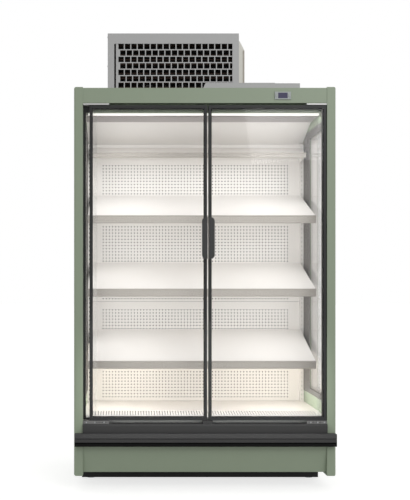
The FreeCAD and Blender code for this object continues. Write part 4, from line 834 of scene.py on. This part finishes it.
INSET = 16 * MM
LOWEST = 30 * MM
TRUNK_ROW = 45 * MM
TRUNK_FIRST = 60 * MM
TRUNK_SECOND = 150 * MM
TRUNK_LAST = 20 * MM
TRUNK_STEP = 2.5 * MM
TRUNK_STEP_LENGTH = 131 * MM
bm = bmesh.new()
low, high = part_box("unit_housing")
for z in (low[2] + LOWEST, (low[2] + high[2]) / 2, high[2] - INSET):
    for y in (low[1] + INSET, high[1] - INSET):
        screw_head(bm, (low[0], y, z), (-1, 0, 0))
for x in (low[0] + INSET, (low[0] + high[0]) / 2, high[0] - INSET):
    screw_head(bm, (x, high[1], high[2] - INSET), (0, 1, 0))
low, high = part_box("wiring_trunk")
for x in (low[0] + TRUNK_FIRST, high[0] - TRUNK_SECOND, high[0] - TRUNK_LAST):
    drop = TRUNK_STEP if x > high[0] - TRUNK_STEP_LENGTH else 0
    screw_head(bm, (x, low[1] + TRUNK_ROW, high[2] - drop), (0, 0, 1))
piece("panel_screws", bm, galvanised)

# %% [markdown]
# Three screws hold each lower hinge plate. They sit below the middle of the plate's front
# face, clear of the door that swings above it.

# %% Hinge screws
SCREW_SHARES = (0.12, 0.45, 0.80)
SCREW_RISE = 7 * MM
plates = [v.co for v in nodes["hinge_plates"].data.vertices if v.co.z < LOWER_PLATES_BELOW]
front = min(point.y for point in plates)
screw_z = min(point.z for point in plates) + SCREW_RISE
bm = bmesh.new()
for share in SCREW_SHARES:
    for sign in (-1, 1):
        edges = [point.x for point in plates if point.x * sign > 0]
        outer, inner = max(edges, key=abs), min(edges, key=abs)
        screw_head(bm, (outer + (inner - outer) * share, front, screw_z), (0, -1, 0))
piece("hinge_screws", bm, galvanised)

# %% [markdown]
# Three coated sheets close the foamed rear wall. Their screws sit in pressed cups, so the
# cabinet can stand flat against a wall. The cups are cut into the sheets with the same
# tool as the punched panels, with a cell for each screw. The wall's core gets a black sheet
# towards the air duct as painted shade, so the holes of the duct panels read as dark dots.

# %% Rear wall with sunk screws
CUP_RADIUS = 7 * MM
CUP_DEPTH = 2.5 * MM
CUP_DRAFT = 0.8
SHEET_GAP = 1.2 * MM
EDGE_CELL = 50 * MM
REAR_SHEETS = 3
low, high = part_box("rear_wall")
core_back = high[1] - CUP_DEPTH
bm = bmesh.new()
screws = bmesh.new()
shade_liner = bmesh.new()
# Painted shade: a black sheet stands for the dark inside of the duct behind the holes.
bar(shade_liner, low, (high[0], core_back, high[2]))
sheet_width = (high[0] - low[0]) / REAR_SHEETS
middle = (low[2] + high[2]) / 2
for i in range(REAR_SHEETS):
    x0 = low[0] + i * sheet_width + SHEET_GAP / 2
    x1 = low[0] + (i + 1) * sheet_width - SHEET_GAP / 2
    columns = [x0, x0 + EDGE_CELL, x1 - EDGE_CELL, x1]
    rows = [low[2], low[2] + EDGE_CELL, middle - EDGE_CELL, middle + EDGE_CELL, high[2] - EDGE_CELL, high[2]]
    punched(bm, columns, rows, CUP_RADIUS, CUP_RADIUS, high[1], rim_y=core_back, rim_scale=CUP_DRAFT)
    corners = ((x0, low[2]), (x1, low[2]), (x1, high[2]), (x0, high[2]))
    for (xa, za), (xb, zb) in zip(corners, corners[1:] + corners[:1]):
        side = ((xa, high[1], za), (xb, high[1], zb), (xb, core_back, zb), (xa, core_back, za))
        bm.faces.new([bm.verts.new(point) for point in side])
    for xa, xb in zip(columns, columns[1:]):
        for za, zb in zip(rows, rows[1:]):
            screw_head(screws, ((xa + xb) / 2, core_back, (za + zb) / 2), (0, 1, 0))
piece("rear_sheets", bm, panel_skin, stands_for=["rear_wall"])
piece("duct_shade_liner", shade_liner, black_coat)
piece("rear_screws", screws, galvanised)

# %% [markdown]
# Behind each slot in the roof unit's back is a louvre blade that leans inward and down. It
# lets the warm air out and keeps drips and glances from reaching the fan.

# %% Vent louvres
BLADE_RUN = 18 * MM
BLADE_DROP = 18 * MM
BLADE_SHEET = 1.2 * MM
BLADE_SIDE = 30 * MM
HOUSING_SHEET = 2 * MM
low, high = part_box("unit_housing")
back_points = [v.co for v in nodes["unit_housing"].data.vertices if abs(v.co.y - high[1]) < 0.1 * MM]
levels = sorted({round(point.z, 4) for point in back_points})[1:-1]
inside = high[1] - HOUSING_SHEET
bm = bmesh.new()
for top in levels[1::2]:
    under, over, tip = top + BLADE_SHEET, top + 2 * BLADE_SHEET, inside - BLADE_RUN
    blade = [(inside, under), (inside, over), (tip, over - BLADE_DROP), (tip, under - BLADE_DROP)]
    along_x(bm, blade, low[0] + BLADE_SIDE, high[0] - BLADE_SIDE)
piece("vent_louvres", bm, grey_coat)

# %% [markdown]
# The side cowl's outer corner carries a taupe edge guard, a thin strip that stops below
# the sloping top.

# %% Edge guard on the side cowl
GUARD_WIDTH = 9 * MM
GUARD_SHEET = 1.5 * MM
cowl_points = [v.co for v in nodes["unit_side_cowl"].data.vertices]
low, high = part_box("unit_side_cowl")
corner_z = max(point.z for point in cowl_points if abs(point.x - high[0]) < 0.1 * MM)
bm = bmesh.new()
bar(bm, (high[0] - GUARD_WIDTH, low[1] - GUARD_SHEET, low[2]), (high[0], low[1], corner_z), bevel_mm=0.4)
piece("cowl_edge_guard", bm, taupe_abs)
